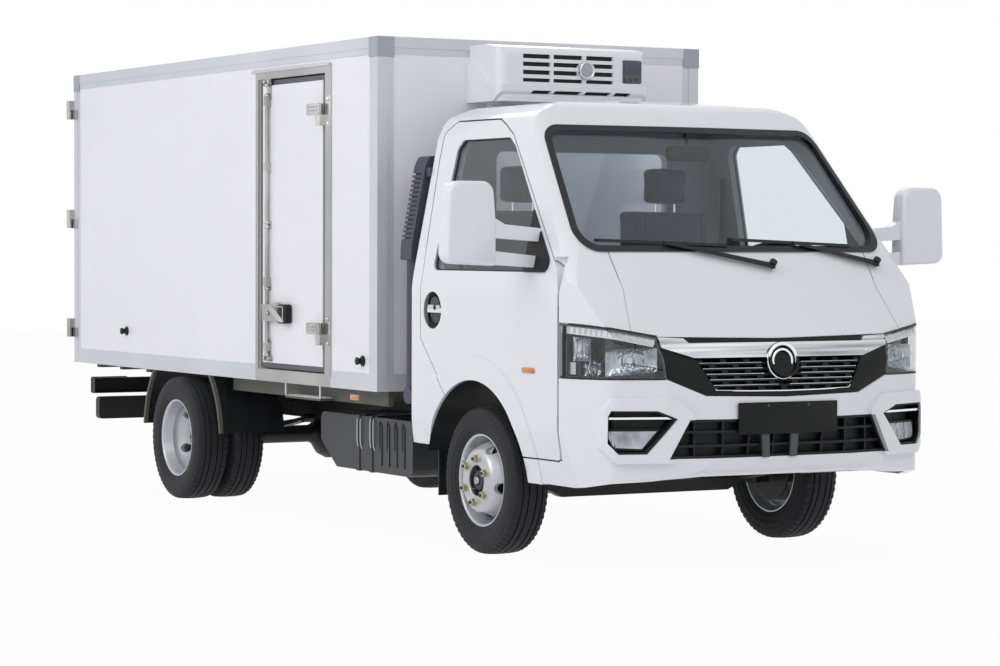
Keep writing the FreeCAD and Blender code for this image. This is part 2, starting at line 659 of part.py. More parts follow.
def box_subframe():
    """Ladder between the rails and the box: long sills, cross bearers, side members and the door step"""
    x0, x1 = RAIL_OUTER_X - SUBFRAME_WIDTH, RAIL_OUTER_X
    half = BOX_HALF_WIDTH - BOX_WALL - SEAT_GAP
    low = SUBFRAME_TOP_Z - BEARER_HEIGHT
    ladder = block(x0, x1, BOX_FRONT_Y, BOX_REAR_Y - BOX_WALL, RAIL_TOP_Z, low)
    ladder = ladder.fuse(mirrored(ladder))
    bearers = []
    for share in BEARER_SHARES:
        y = BOX_FRONT_Y + BOX_LENGTH * share
        bearers.append(block(-half, half, y, y + BEARER_WIDTH, low, SUBFRAME_TOP_Z))
    rear = BOX_FRONT_Y + BOX_LENGTH * SIDE_MEMBER_REAR_SHARE
    first = BOX_FRONT_Y + BOX_LENGTH * BEARER_SHARES[0]
    for side in (-1, 1):
        bearers.append(block(side * (half - SIDE_MEMBER_WIDTH), side * half, first, rear + BEARER_WIDTH,
                             SIDE_MEMBER_LOW_Z, SUBFRAME_TOP_Z))
    bearers.append(block(-half, -half - STEP_WIDTH, STEP_FRONT_Y, STEP_FRONT_Y + STEP_LENGTH,
                         SIDE_MEMBER_LOW_Z, SIDE_MEMBER_LOW_Z + STEP_THICKNESS))
    keep("box_subframe", ladder.fuse(bearers).removeSplitter())


def leaf_spring(axle_y, seat_z, length):
    """Leaf pack bent as an arc, with an eye at each end, on one side"""
    x0 = SPRING_X - SPRING_WIDTH / 2
    ends = (axle_y - length / 2, axle_y + length / 2)
    lower = Part.Arc(Vector(x0, ends[0], seat_z + SPRING_RISE), Vector(x0, axle_y, seat_z),
                     Vector(x0, ends[1], seat_z + SPRING_RISE)).toShape()
    top = SPRING_RISE + SPRING_THICKNESS / 2
    upper = Part.Arc(Vector(x0, ends[1], seat_z + top), Vector(x0, axle_y, seat_z + SPRING_THICKNESS),
                     Vector(x0, ends[0], seat_z + top)).toShape()
    first = Part.LineSegment(Vector(x0, ends[1], seat_z + SPRING_RISE), Vector(x0, ends[1], seat_z + top))
    last = Part.LineSegment(Vector(x0, ends[0], seat_z + top), Vector(x0, ends[0], seat_z + SPRING_RISE))
    face = Part.Face(Part.Wire([lower, first.toShape(), upper, last.toShape()]))
    pack = face.extrude(Vector(SPRING_WIDTH, 0, 0))
    eye = SPRING_THICKNESS * SPRING_EYE_SHARE
    for y in ends:
        spot = Vector(x0, y, seat_z + SPRING_RISE + SPRING_THICKNESS / 4)
        pack = pack.fuse(rod(eye, spot, spot + Vector(SPRING_WIDTH, 0, 0)))
    return pack.removeSplitter()


def spring_places():
    """Axle place, seat height and length of the front and rear springs"""
    beam_top = AXLE_Z - BEAM_DROP + BEAM_HEIGHT / 2
    tube_top = AXLE_Z + AXLE_TUBE_RADIUS
    return ((FRONT_AXLE_Y, beam_top, FRONT_SPRING_LENGTH), (REAR_AXLE_Y, tube_top, REAR_SPRING_LENGTH))


def springs():
    """Leaf springs beside the rails"""
    for axle_y, seat_z, length in spring_places():
        pack = leaf_spring(axle_y, seat_z, length)
        keep("leaf_springs", pack, mirrored(pack))


def spring_hangers():
    """Brackets on one rail that hold the spring eyes"""
    eye = SPRING_THICKNESS * SPRING_EYE_SHARE
    made = []
    for axle_y, seat_z, length in spring_places():
        eye_z = seat_z + SPRING_RISE + SPRING_THICKNESS / 4 + eye
        for y in (axle_y - length / 2, axle_y + length / 2):
            outer_x = SPRING_X + SPRING_WIDTH / 2
            made.append(block(RAIL_OUTER_X, outer_x, y - eye, y + eye, eye_z, RAIL_TOP_Z))
    return made


def front_axle():
    """Drop-centre beam with a boss for each kingpin"""
    z, low = AXLE_Z, AXLE_Z - BEAM_DROP
    half = BEAM_HEIGHT / 2
    bend_in, bend_out = SPRING_X + SPRING_WIDTH / 2, KINGPIN_X - KNUCKLE_EYE_RADIUS
    right = [(bend_in, low - half), (bend_out, z - half), (KINGPIN_X, z - half)]
    left = [(KINGPIN_X, z + half), (bend_out, z + half), (bend_in, low + half)]
    points = right + left + [(-x, zz) for x, zz in reversed(left)] + [(-x, zz) for x, zz in reversed(right)]
    beam = prism_y(points, FRONT_AXLE_Y - BEAM_DEPTH / 2, FRONT_AXLE_Y + BEAM_DEPTH / 2)
    for side in (-1, 1):
        low_end = Vector(side * KINGPIN_X, FRONT_AXLE_Y, z - half)
        high_end = Vector(side * KINGPIN_X, FRONT_AXLE_Y, z + half)
        beam = beam.fuse(rod(KNUCKLE_EYE_RADIUS, low_end, high_end))
    for side in (-1, 1):
        low_end = Vector(side * KINGPIN_X, FRONT_AXLE_Y, z - BEAM_HEIGHT)
        high_end = Vector(side * KINGPIN_X, FRONT_AXLE_Y, z + BEAM_HEIGHT)
        beam = beam.cut(rod(KINGPIN_RADIUS + PIN_PLAY, low_end, high_end))
    keep("front_axle_beam", beam.removeSplitter())


def knuckles():
    """Steering knuckles: forked eyes on a kingpin, stub axle, brake plate and steering arm"""
    half = BEAM_HEIGHT / 2 + SEAT_GAP
    pin = Vector(KINGPIN_X, FRONT_AXLE_Y, AXLE_Z)
    up = Vector(0, 0, 1)
    top, foot = pin + up * (half + KNUCKLE_EYE_HEIGHT), pin - up * (half + KNUCKLE_EYE_HEIGHT)
    knuckle = rod(KINGPIN_RADIUS, foot, top)
    knuckle = knuckle.fuse(rod(KNUCKLE_EYE_RADIUS, pin + up * half, top))
    knuckle = knuckle.fuse(rod(KNUCKLE_EYE_RADIUS, foot, pin - up * half))
    web_x = KINGPIN_X + KNUCKLE_EYE_RADIUS + RUNNING_GAP
    web_end = web_x + KNUCKLE_EYE_RADIUS
    reach = half + KNUCKLE_EYE_HEIGHT
    web = block(web_x, web_end, FRONT_AXLE_Y - BEAM_DEPTH / 2, FRONT_AXLE_Y + BEAM_DEPTH / 2,
                AXLE_Z - reach, AXLE_Z + reach)
    arms = block(KINGPIN_X, web_x, FRONT_AXLE_Y - BEAM_DEPTH / 2, FRONT_AXLE_Y + BEAM_DEPTH / 2,
                 AXLE_Z + half, AXLE_Z + reach)
    lower = arms.translated(up * (-half - reach))
    hub_back = FRONT_TRACK / 2 + RIM_WIDTH * 0.50 - DISC_THICKNESS - FRONT_HUB_LENGTH - DRUM_LENGTH
    stub = rod(STUB_RADIUS, Vector(web_x, FRONT_AXLE_Y, AXLE_Z),
               Vector(FRONT_TRACK / 2 + RIM_WIDTH * 0.4, FRONT_AXLE_Y, AXLE_Z))
    plate_x = hub_back - SEAT_GAP - RIM_WALL
    plate_end = Vector(hub_back - SEAT_GAP, FRONT_AXLE_Y, AXLE_Z)
    plate = rod(DRUM_RADIUS, Vector(plate_x, FRONT_AXLE_Y, AXLE_Z), plate_end)
    arm_z = AXLE_Z - half - KNUCKLE_EYE_HEIGHT
    arm = block(KINGPIN_X - STEER_ARM_WIDTH / 2, KINGPIN_X + STEER_ARM_WIDTH / 2, FRONT_AXLE_Y,
                FRONT_AXLE_Y + STEER_ARM_REACH + STEER_ARM_WIDTH / 2, arm_z, arm_z + STEER_ARM_THICKNESS)
    knuckle = knuckle.fuse([web, arms, lower, stub, plate, arm]).removeSplitter()
    keep("knuckle_left", knuckle)
    keep("knuckle_right", mirrored(knuckle))
    arm_y = FRONT_AXLE_Y + STEER_ARM_REACH
    top = arm_z - SEAT_GAP
    bar_z = top - TIE_ROD_RADIUS
    bar = rod(TIE_ROD_RADIUS, Vector(-KINGPIN_X, arm_y, bar_z), Vector(KINGPIN_X, arm_y, bar_z))
    for side in (-1, 1):
        spot = Vector(side * KINGPIN_X, arm_y, bar_z - TIE_ROD_RADIUS)
        bar = bar.fuse(rod(TIE_ROD_RADIUS * 1.6, spot, spot + up * TIE_ROD_RADIUS * 2))
    keep("tie_rod", bar.removeSplitter())


def rear_axle():
    """Live axle: tube, round differential casing and brake drums"""
    end = REAR_TRACK / 2 - DISC_THICKNESS - REAR_HUB_LENGTH - SEAT_GAP
    r, d = AXLE_TUBE_RADIUS, DIFF_RADIUS
    half = [(d * 0.2, d), (d * 0.5, d * 0.85), (d * 0.8, r * 1.3), (d, r), (end - DRUM_LENGTH, r),
            (end - DRUM_LENGTH, DRUM_RADIUS), (end, DRUM_RADIUS)]
    profile = [(-end, 0), (end, 0)] + half[::-1] + [(-x, y) for x, y in half]
    axle = turned(profile, Vector(0, REAR_AXLE_Y, AXLE_Z))
    nose = rod(d * 0.45, Vector(0, REAR_AXLE_Y - d / 2, AXLE_Z), Vector(0, REAR_AXLE_Y - d * 1.7, AXLE_Z))
    keep("rear_axle", axle.fuse(nose).removeSplitter())
    start = Vector(0, ENGINE_REAR_Y + GEARBOX_LENGTH, GEARBOX_Z)
    finish = Vector(0, REAR_AXLE_Y - DIFF_RADIUS * 1.7, AXLE_Z)
    way = (finish - start).normalize()
    end = way * PROP_RADIUS * PROP_END_SHARE
    keep("propshaft", rod(PROP_RADIUS, start + end, finish - end))


def engine():
    """Engine and gearbox as one plain mass between the rails"""
    body = block(-ENGINE_HALF_WIDTH, ENGINE_HALF_WIDTH, ENGINE_FRONT_Y, ENGINE_REAR_Y,
                 ENGINE_BOTTOM_Z, ENGINE_TOP_Z)
    box_start = Vector(0, ENGINE_REAR_Y, GEARBOX_Z)
    box = rod(GEARBOX_RADIUS, box_start, box_start + Vector(0, GEARBOX_LENGTH, 0))
    mounts = block(-RAIL_OUTER_X + RAIL_FLANGE, RAIL_OUTER_X - RAIL_FLANGE, ENGINE_FRONT_Y + RAIL_FLANGE,
                   ENGINE_FRONT_Y + RAIL_FLANGE * 2, RAIL_TOP_Z - RAIL_HEIGHT, RAIL_TOP_Z - RAIL_HEIGHT / 2)
    keep("engine", body.fuse([box, mounts]).removeSplitter())


def cab_solid(depth):
    """Whole cab form, moved inwards by one depth: bowed front, tumblehome sides and rounded plan"""
    side = scaled(CAB_SIDE_SHARES, (FRONT_Y, CAB_BOTTOM_Z), (CAB_LENGTH, CAB_HEIGHT))
    side_radii = [max(0, share * CAB_HEIGHT - depth) for share in CAB_SIDE_RADIUS_SHARES]
    side = inset(side, depth)
    face = outline_face(side, side_radii, lambda y, z: Vector(0, y, z))
    straight = prism_x(side, -CAB_HALF_WIDTH - OVERRUN, CAB_HALF_WIDTH + OVERRUN, side_radii)
    axis = Vector(0, FRONT_Y + CAB_BOW_RADIUS, 0)
    half_angle = math.degrees(math.asin((CAB_HALF_WIDTH + OVERRUN * 4) / (CAB_BOW_RADIUS - CAB_LENGTH)))
    face.rotate(axis, Vector(0, 0, 1), -half_angle)
    bowed = face.revolve(axis, Vector(0, 0, 1), half_angle * 2)
    half = scaled(CAB_FRONT_SHARES, (0, CAB_BOTTOM_Z), (CAB_HALF_WIDTH, CAB_HEIGHT))
    points = whole(half + [(0, CAB_TOP_Z + ROOF_CROWN_CLEARANCE)])
    radii = [max(0, share * CAB_HEIGHT - depth) for share in CAB_FRONT_RADIUS_SHARES]
    front = prism_y(inset(points, depth), FRONT_Y - OVERRUN, CAB_REAR_Y + OVERRUN, radii + [0] + radii[::-1])
    half = scaled(CAB_PLAN_SHARES, (0, FRONT_Y), (CAB_HALF_WIDTH, CAB_LENGTH))
    points = whole(half)
    radii = [max(0, share * CAB_HALF_WIDTH - depth) for share in CAB_PLAN_RADIUS_SHARES]
    plan = prism_z(inset(points, depth), CAB_BOTTOM_Z - OVERRUN, CAB_TOP_Z + CAB_WALL, radii + radii[::-1])
    solid = bowed.common(straight).common(front).common(plan)
    for side_sign in (-1, 1):
        solid = solid.common(pillar_limit(side_sign, depth))
    return solid


def pillar_limit(side, depth):
    """Slanting prism that rounds the corner between the windscreen and the side"""
    x, y = CAB_HALF_WIDTH * PILLAR_X_SHARE, FRONT_Y + CAB_LENGTH * PILLAR_Y_SHARE
    far = CAB_HALF_WIDTH * 1.3
    fall = CAB_LENGTH * 0.037
    points = [(side * x, y), (side * x, y + CAB_LENGTH * 3), (-side * far, y + CAB_LENGTH * 3),
              (-side * far, y - fall * (1 + far / x))]
    z = CAB_BOTTOM_Z + CAB_HEIGHT * PILLAR_Z_SHARE
    lean = Vector(-side * PILLAR_LEAN_X, PILLAR_LEAN_Y, 1)
    radii = [PILLAR_RADIUS - depth / 2, 0, 0, 0]
    face = outline_face(inset(points, depth), radii, lambda a, b: Vector(a, b, z))
    face = face.translated(lean * -CAB_HEIGHT)
    return face.extrude(lean * CAB_HEIGHT * 2)


def cab_hinge(side, pin_x, pin_y, z, door, inner):
    """Hidden door hinge: an arm on the front corner carries a barrel, and the door's pin runs in it"""
    half, r = DOOR_HINGE_HEIGHT / 2, DOOR_BARREL_RADIUS
    gap = DOOR_GAP
    inside = side * (pin_x - DOOR_ARM_REACH)
    base = Vector(side * pin_x, pin_y, z - half)
    up = Vector(0, 0, 1)
    front_y = pin_y - DOOR_PIN_SETBACK
    pocket = block(side * (pin_x + r + gap), side * (pin_x - CAB_WALL), front_y - gap, pin_y + r + gap,
                   z - half - gap / 2, z + half + gap / 2)
    door = door.cut(pocket)
    pin = rod(r / 2, base - up * gap, base + up * (DOOR_HINGE_HEIGHT + gap))
    door = door.fuse(pin).removeSplitter()
    barrel = rod(r, base, base + up * DOOR_HINGE_HEIGHT)
    arm = block(side * pin_x, inside, pin_y - r * 0.8, pin_y + r * 0.8, z - half, z + half)
    pad_y = front_y - DOOR_PAD_LENGTH
    strap = block(inside, inside - side * r, pad_y, pin_y + r * 0.8, z - half, z + half)
    pad = block(side * CAB_HALF_WIDTH, inside, pad_y, pad_y + DOOR_PAD_LENGTH / 2, z - half, z + half)
    bore = rod(r / 2 + PIN_PLAY, base - up, base + up * DOOR_HINGE_HEIGHT * 2)
    seat = barrel.fuse([arm, strap.common(inner), pad.common(inner)]).cut(bore)
    return seat.removeSplitter(), door


def cab_spot(y_share, z_share):
    """Point of the cab's side view from shares of its length and height"""
    return FRONT_Y + CAB_LENGTH * y_share, CAB_BOTTOM_Z + CAB_HEIGHT * z_share


def cab_form(depth):
    """Cab form at one depth, made once"""
    if depth not in CAB_FORMS:
        CAB_FORMS[depth] = cab_solid(depth)
    return CAB_FORMS[depth]


def cab_layer(outside, inside):
    """Sheet that follows the cab's form between two depths, made once"""
    if (outside, inside) not in CAB_LAYERS:
        CAB_LAYERS[outside, inside] = cab_form(outside).cut(cab_form(inside))
    return CAB_LAYERS[outside, inside]


def across(shares, side=1):
    """Front outline from shares of the cab's half width and height"""
    return [(side * x, z) for x, z in scaled(shares, (0, CAB_BOTTOM_Z), (CAB_HALF_WIDTH, CAB_HEIGHT))]


def door_front_y():
    """Place of the doors' front edge, where the nose ends"""
    return cab_spot(DOOR_FRONT_SHARE, 0)[0]


def nose_prism(points, radii=0):
    """Front outline carried through the nose of the cab"""
    return prism_y(points, FRONT_Y - CAB_WALL, door_front_y(), radii)


def nose_y(x, z):
    """Place along Y where a line from the front meets the cab's form"""
    line = Part.makeLine(Vector(x, FRONT_Y - CAB_WALL, z), Vector(x, 0, z))
    return min(v.Y for v in line.common(cab_form(0)).Vertexes)


def strip(start, end, start_width, end_width):
    """Outline of a straight bar between two points of the front view"""
    length = math.hypot(end[0] - start[0], end[1] - start[1])
    nx, nz = -(end[1] - start[1]) / length / 2, (end[0] - start[0]) / length / 2
    return [(start[0] + nx * start_width, start[1] + nz * start_width),
            (start[0] - nx * start_width, start[1] - nz * start_width),
            (end[0] - nx * end_width, end[1] - nz * end_width),
            (end[0] + nx * end_width, end[1] + nz * end_width)]


def bossed(shell):
    """Cab shell with its wheel arch flares and the raised frames round the fog lamps"""
    raised = []
    near, wide = ARCH_INNER_X, CAB_HALF_WIDTH + OVERRUN * 20
    for side in (-1, 1):
        ends = Vector(side * near, FRONT_AXLE_Y, AXLE_Z), Vector(side * wide, FRONT_AXLE_Y, AXLE_Z)
        raised.append(rod(ARCH_RADIUS + FLARE_WIDTH, *ends).common(cab_layer(-FLARE_PROUD, SEAM_DEPTH)))
        frame = nose_prism(across(FOG_FRAME_SHARES, side), FOG_FRAME_CORNER)
        raised.append(frame.common(cab_layer(-FOG_FRAME_PROUD, SEAM_DEPTH)))
    return shell.fuse(raised)


def panel_seams():
    """Narrow grooves along the edges of the hood, lamps and grille"""
    outlines = [whole(across(HOOD_SHARES)), whole(across(GRILLE_SHARES))]
    outlines += [across(LAMP_SHARES, side) for side in (-1, 1)]
    seams = []
    for points in outlines:
        wide, narrow = inset(points, -SEAM_WIDTH / 2), inset(points, SEAM_WIDTH / 2)
        seams.append(nose_prism(wide).cut(nose_prism(narrow)))
    seam = seams[0].fuse(seams[1:])
    return seam.common(cab_form(-SEAL_PROUD)).cut(cab_form(SEAM_DEPTH))


def grille_set(seams):
    """Winged grille: gloss frame, slats over staggered cells, bright bar and a plain boss"""
    zone = nose_prism(whole(across(GRILLE_SHARES)))
    mesh_points = whole(across(MESH_SHARES))
    mesh = nose_prism(mesh_points)
    bright = nose_prism(whole(across(BRIGHT_SHARES)))
    frame = zone.cut(mesh).cut(bright).common(cab_layer(GRILLE_SET_BACK, CAB_WALL))
    back = mesh.common(cab_layer(CAB_WALL - GRILLE_BACK, CAB_WALL))
    low, high = mesh_points[0][1], max(z for x, z in mesh_points)
    reach = max(x for x, z in mesh_points)
    pitch = (high - low) / (SLAT_COUNT + 1)
    y0, y1 = FRONT_Y - CAB_WALL, door_front_y()
    bars = []
    for row in range(SLAT_COUNT + 1):
        z = low + pitch * row
        if row:
            bars.append(block(-reach, reach, y0, y1, z - SLAT_HEIGHT / 2, z + SLAT_HEIGHT / 2))
        count = int(reach / CELL_PITCH) + 1
        for cell in range(-count, count + 1):
            x = CELL_PITCH * (cell + (row % 2) / 2)
            bars.append(block(x - CELL_WIDTH / 2, x + CELL_WIDTH / 2, y0, y1, z, z + pitch))
    slats = bars[0].fuse(bars[1:]).common(mesh).common(cab_layer(SLAT_SET_BACK, CAB_WALL - GRILLE_BACK))
    bar = bright.common(zone).common(cab_layer(-BRIGHT_PROUD, BRIGHT_DEPTH))
    seat = Vector(0, *cab_spot(*BOSS_SHARES))
    lean = Vector(0, -math.cos(math.radians(BOSS_LEAN)), math.sin(math.radians(BOSS_LEAN)))
    foot, front = seat - lean * BRIGHT_DEPTH, seat + lean * BOSS_PROUD
    hole = rod(BOSS_RADIUS, foot, front + lean * CAB_WALL)
    boss = rod(BOSS_RADIUS, foot, front)
    face = rod(BOSS_RADIUS - BOSS_RIM, front - lean * BOSS_RIM, front + lean)
    keep("grille", frame.fuse([back, slats]).cut(hole).cut(seams).removeSplitter())
    keep("grille", bar.cut(hole), boss.cut(face))


def lower_grille_set():
    """Black grille in the bumper: surround, level bars, thin posts and a closed back"""
    points = whole(across(LOWER_GRILLE_SHARES))
    opening = nose_prism(points)
    low, high = min(z for x, z in points), max(z for x, z in points)
    reach = max(x for x, z in points)
    y0, y1 = FRONT_Y - CAB_WALL, door_front_y()
    surround = opening.cut(nose_prism(inset(points, LOWER_BAR)))
    surround = surround.common(cab_layer(GRILLE_SET_BACK, CAB_WALL))
    back = opening.common(cab_layer(CAB_WALL - GRILLE_BACK, CAB_WALL))
    bars = []
    for share in LOWER_BAR_SHARES:
        z = cab_spot(0, share)[1]
        bars.append(block(-reach, reach, y0, y1, z - LOWER_BAR / 2, z + LOWER_BAR / 2))
    for i in range(1, LOWER_POST_COUNT):
        x = reach * (2 * i / LOWER_POST_COUNT - 1)
        bars.append(block(x - LOWER_POST / 2, x + LOWER_POST / 2, y0, y1, low, high))
    bars = bars[0].fuse(bars[1:]).common(opening)
    bars = bars.common(cab_layer(SLAT_SET_BACK, CAB_WALL - GRILLE_BACK))
    keep("grille", surround.fuse([back, bars]).removeSplitter())
    return opening


def fog_lamp_set():
    """Black trays in the bumper, each with a fog lamp and a bright strip"""
    openings = []
    for side in (-1, 1):
        points = across(FOG_POCKET_SHARES, side)
        glass = across(FOG_GLASS_SHARES, side)
        opening = nose_prism(points)
        floor, glass_back = CAB_WALL - GRILLE_BACK, FOG_GLASS_DEPTH + LENS_THICKNESS
        wall = opening.cut(nose_prism(inset(points, FOG_RIM)))
        wall = wall.common(cab_layer(-FOG_FRAME_PROUD / 2, CAB_WALL))
        back = opening.common(cab_layer(floor, CAB_WALL))
        lamp_seat = nose_prism(inset(glass, -FOG_RIM)).common(cab_layer(glass_back + SEAT_GAP, floor))
        tray = wall.fuse([back, lamp_seat.common(opening)]).removeSplitter()
        keep("grille", tray)
        keep("headlamps", nose_prism(glass).common(cab_layer(FOG_GLASS_DEPTH, glass_back)).cut(tray))
        z = cab_spot(0, FOG_STRIP_SHARE)[1]
        nose = FRONT_Y - CAB_WALL
        band = block(0, side * CAB_HALF_WIDTH, nose, door_front_y(), z, z + FOG_STRIP_HEIGHT)
        bright = band.common(opening).common(cab_layer(-FOG_FRAME_PROUD / 2, SLAT_SET_BACK)).cut(tray)
        keep("grille", bright)
        openings.append(opening)
    return openings


def headlamp_set(away):
    """Headlamps: clear cover round the corner, dark housing, reflector bowls and a light strip"""
    for side in (-1, 1):
        points = across(LAMP_SHARES, side)
        zone = nose_prism(points)
        cover = zone.common(cab_layer(0, LENS_THICKNESS)).cut(away)
        inner_points = inset(points, LAMP_RIM)
        hollow = prism_y(inner_points, FRONT_Y - CAB_WALL, door_front_y() - LAMP_RIM)
        hollow = hollow.common(cab_form(LENS_THICKNESS)).cut(cab_form(LAMP_DEPTH - LAMP_RIM))
        housing = zone.common(cab_layer(LENS_THICKNESS + SEAT_GAP, LAMP_DEPTH)).cut(hollow).cut(away)
        keep("headlamps", cover, housing)
        light = nose_prism(across(LED_SHARES, side)).common(zone)
        light = light.common(cab_layer(LED_DEPTH, LED_DEPTH + LED_THICKNESS)).cut(housing).cut(away)
        keep("headlamps", light)
        for x_share, z_share, size in BOWL_SHARES:
            x, z = side * CAB_HALF_WIDTH * x_share, cab_spot(0, z_share)[1]
            r, d = BOWL_RADIUS * size, BOWL_DEPTH * size
            y = nose_y(x + side * (r + BOWL_WALL), z) + LED_DEPTH * 1.5
            bowl = bowl_of(Vector(x, y, z), r, d)
            keep("headlamps", bowl.cut(housing).cut(light).cut(away))


def bowl_of(centre, radius, depth):
    """Reflector bowl that opens forwards, on a short stem"""
    w = BOWL_WALL
    curve = [(0, radius), (depth * 0.45, radius * 0.80), (depth * 0.85, radius * 0.45), (depth, 0)]
    profile = curve + [(depth + w, 0), (depth * 0.9 + w, radius * 0.5), (depth * 0.5, radius * 0.8 + w),
                       (0, radius + w)]
    wire = Part.makePolygon([Vector(0, a, b) for a, b in profile + profile[:1]])
    bowl = Part.Face(wire).revolve(Vector(0, 0, 0), Vector(0, 1, 0), 360).translated(centre)
    stem = rod(radius / 4, centre + Vector(0, depth + w, 0), centre + Vector(0, LAMP_DEPTH * 2, 0))
    return bowl.fuse(stem.common(cab_form(LAMP_RIM))).removeSplitter()


def wiper_set():
    """Wipers: blade on the glass, arm and pivot"""
    glass_top = GLASS_DEPTH - SEAT_GAP
    for pivot, left, right in WIPER_SHARES:
        pivot, left, right = across([pivot, left, right])
        share = WIPER_JOINT_SHARE
        middle = (left[0] + (right[0] - left[0]) * share, left[1] + (right[1] - left[1]) * share)
        blade_zone = prism_y(strip(left, right, WIPER_BLADE, WIPER_BLADE), FRONT_Y, FRONT_AXLE_Y)
        over = -WIPER_BLADE_HEIGHT
        blade = blade_zone.common(cab_layer(over, glass_top))
        arm_zone = prism_y(strip(pivot, middle, *WIPER_ARM_WIDTHS), FRONT_Y, FRONT_AXLE_Y)
        arm = arm_zone.common(cab_layer(over - WIPER_ARM_HEIGHT, over))
        y = nose_y(*pivot)
        out = Vector(0, -1, 1).normalize()
        seat = Vector(pivot[0], y, pivot[1])
        tip = seat + out * (WIPER_BLADE_HEIGHT + WIPER_ARM_HEIGHT * 1.5)
        post = rod(WIPER_PIVOT_RADIUS, seat - out * CAB_WALL, tip)
        post = post.cut(cab_form(0))
        wiper = blade.fuse([arm, post]).removeSplitter()
        keep("wipers", wiper.cut(TRUCK["windscreen_seal"][0]))


def door_handle(side, door):
    """Door with a round recess and a level grip bar"""
    y, z = cab_spot(*HANDLE_SHARES)
    x_out, x_in = side * (CAB_HALF_WIDTH + OVERRUN), side * (CAB_HALF_WIDTH - HANDLE_DEPTH)
    door = door.cut(rod(HANDLE_RADIUS, Vector(x_out, y, z), Vector(x_in, y, z)))
    bar = block(side * (CAB_HALF_WIDTH - HANDLE_DEPTH / 2), side * (CAB_HALF_WIDTH - OVERRUN),
                y - HANDLE_RADIUS, y + HANDLE_RADIUS, z - HANDLE_BAR / 2, z + HANDLE_BAR / 2)
    return door.fuse(bar).removeSplitter()


def window_glass():
    """Windscreen with its seal, and the rear window: returns what they take from the shell"""
    half_top, half_low = CAB_HALF_WIDTH * SCREEN_TOP_SHARES[0], CAB_HALF_WIDTH * SCREEN_LOW_SHARES[0]
    top_z, low_z = cab_spot(0, SCREEN_TOP_SHARES[1])[1], cab_spot(0, SCREEN_LOW_SHARES[1])[1]
    glass_layer = cab_layer(GLASS_DEPTH, GLASS_DEPTH + GLASS_THICKNESS)
    screen = [(-half_low, low_z), (half_low, low_z), (half_top, top_z), (-half_top, top_z)]
    screen_outer = prism_y(screen, FRONT_Y - OVERRUN, FRONT_AXLE_Y, SCREEN_CORNER)
    inner_corner = SCREEN_CORNER - SCREEN_SEAL / 2
    screen_inner = prism_y(inset(screen, SCREEN_SEAL), FRONT_Y - OVERRUN, FRONT_AXLE_Y, inner_corner)
    seal_layer = cab_layer(-SEAL_PROUD, GLASS_DEPTH * 2)
    keep("windscreen_seal", seal_layer.common(screen_outer.cut(screen_inner)))
    keep("cab_glass", glass_layer.common(screen_inner))
    low, high = (cab_spot(0, share)[1] for share in REAR_GLASS_SHARES)
    half = REAR_GLASS_HALF
    points = [(-half, low), (half, low), (half, high), (-half, high)]
    rear_window = prism_y(points, CAB_REAR_Y - CAB_WALL * 2, CAB_REAR_Y + OVERRUN, WINDOW_CORNER)
    middle = CAB_REAR_Y - CAB_WALL / 2
    keep("cab_glass", prism_y(points, middle - GLASS_THICKNESS, middle, WINDOW_CORNER))
    return screen_outer.fuse(rear_window)


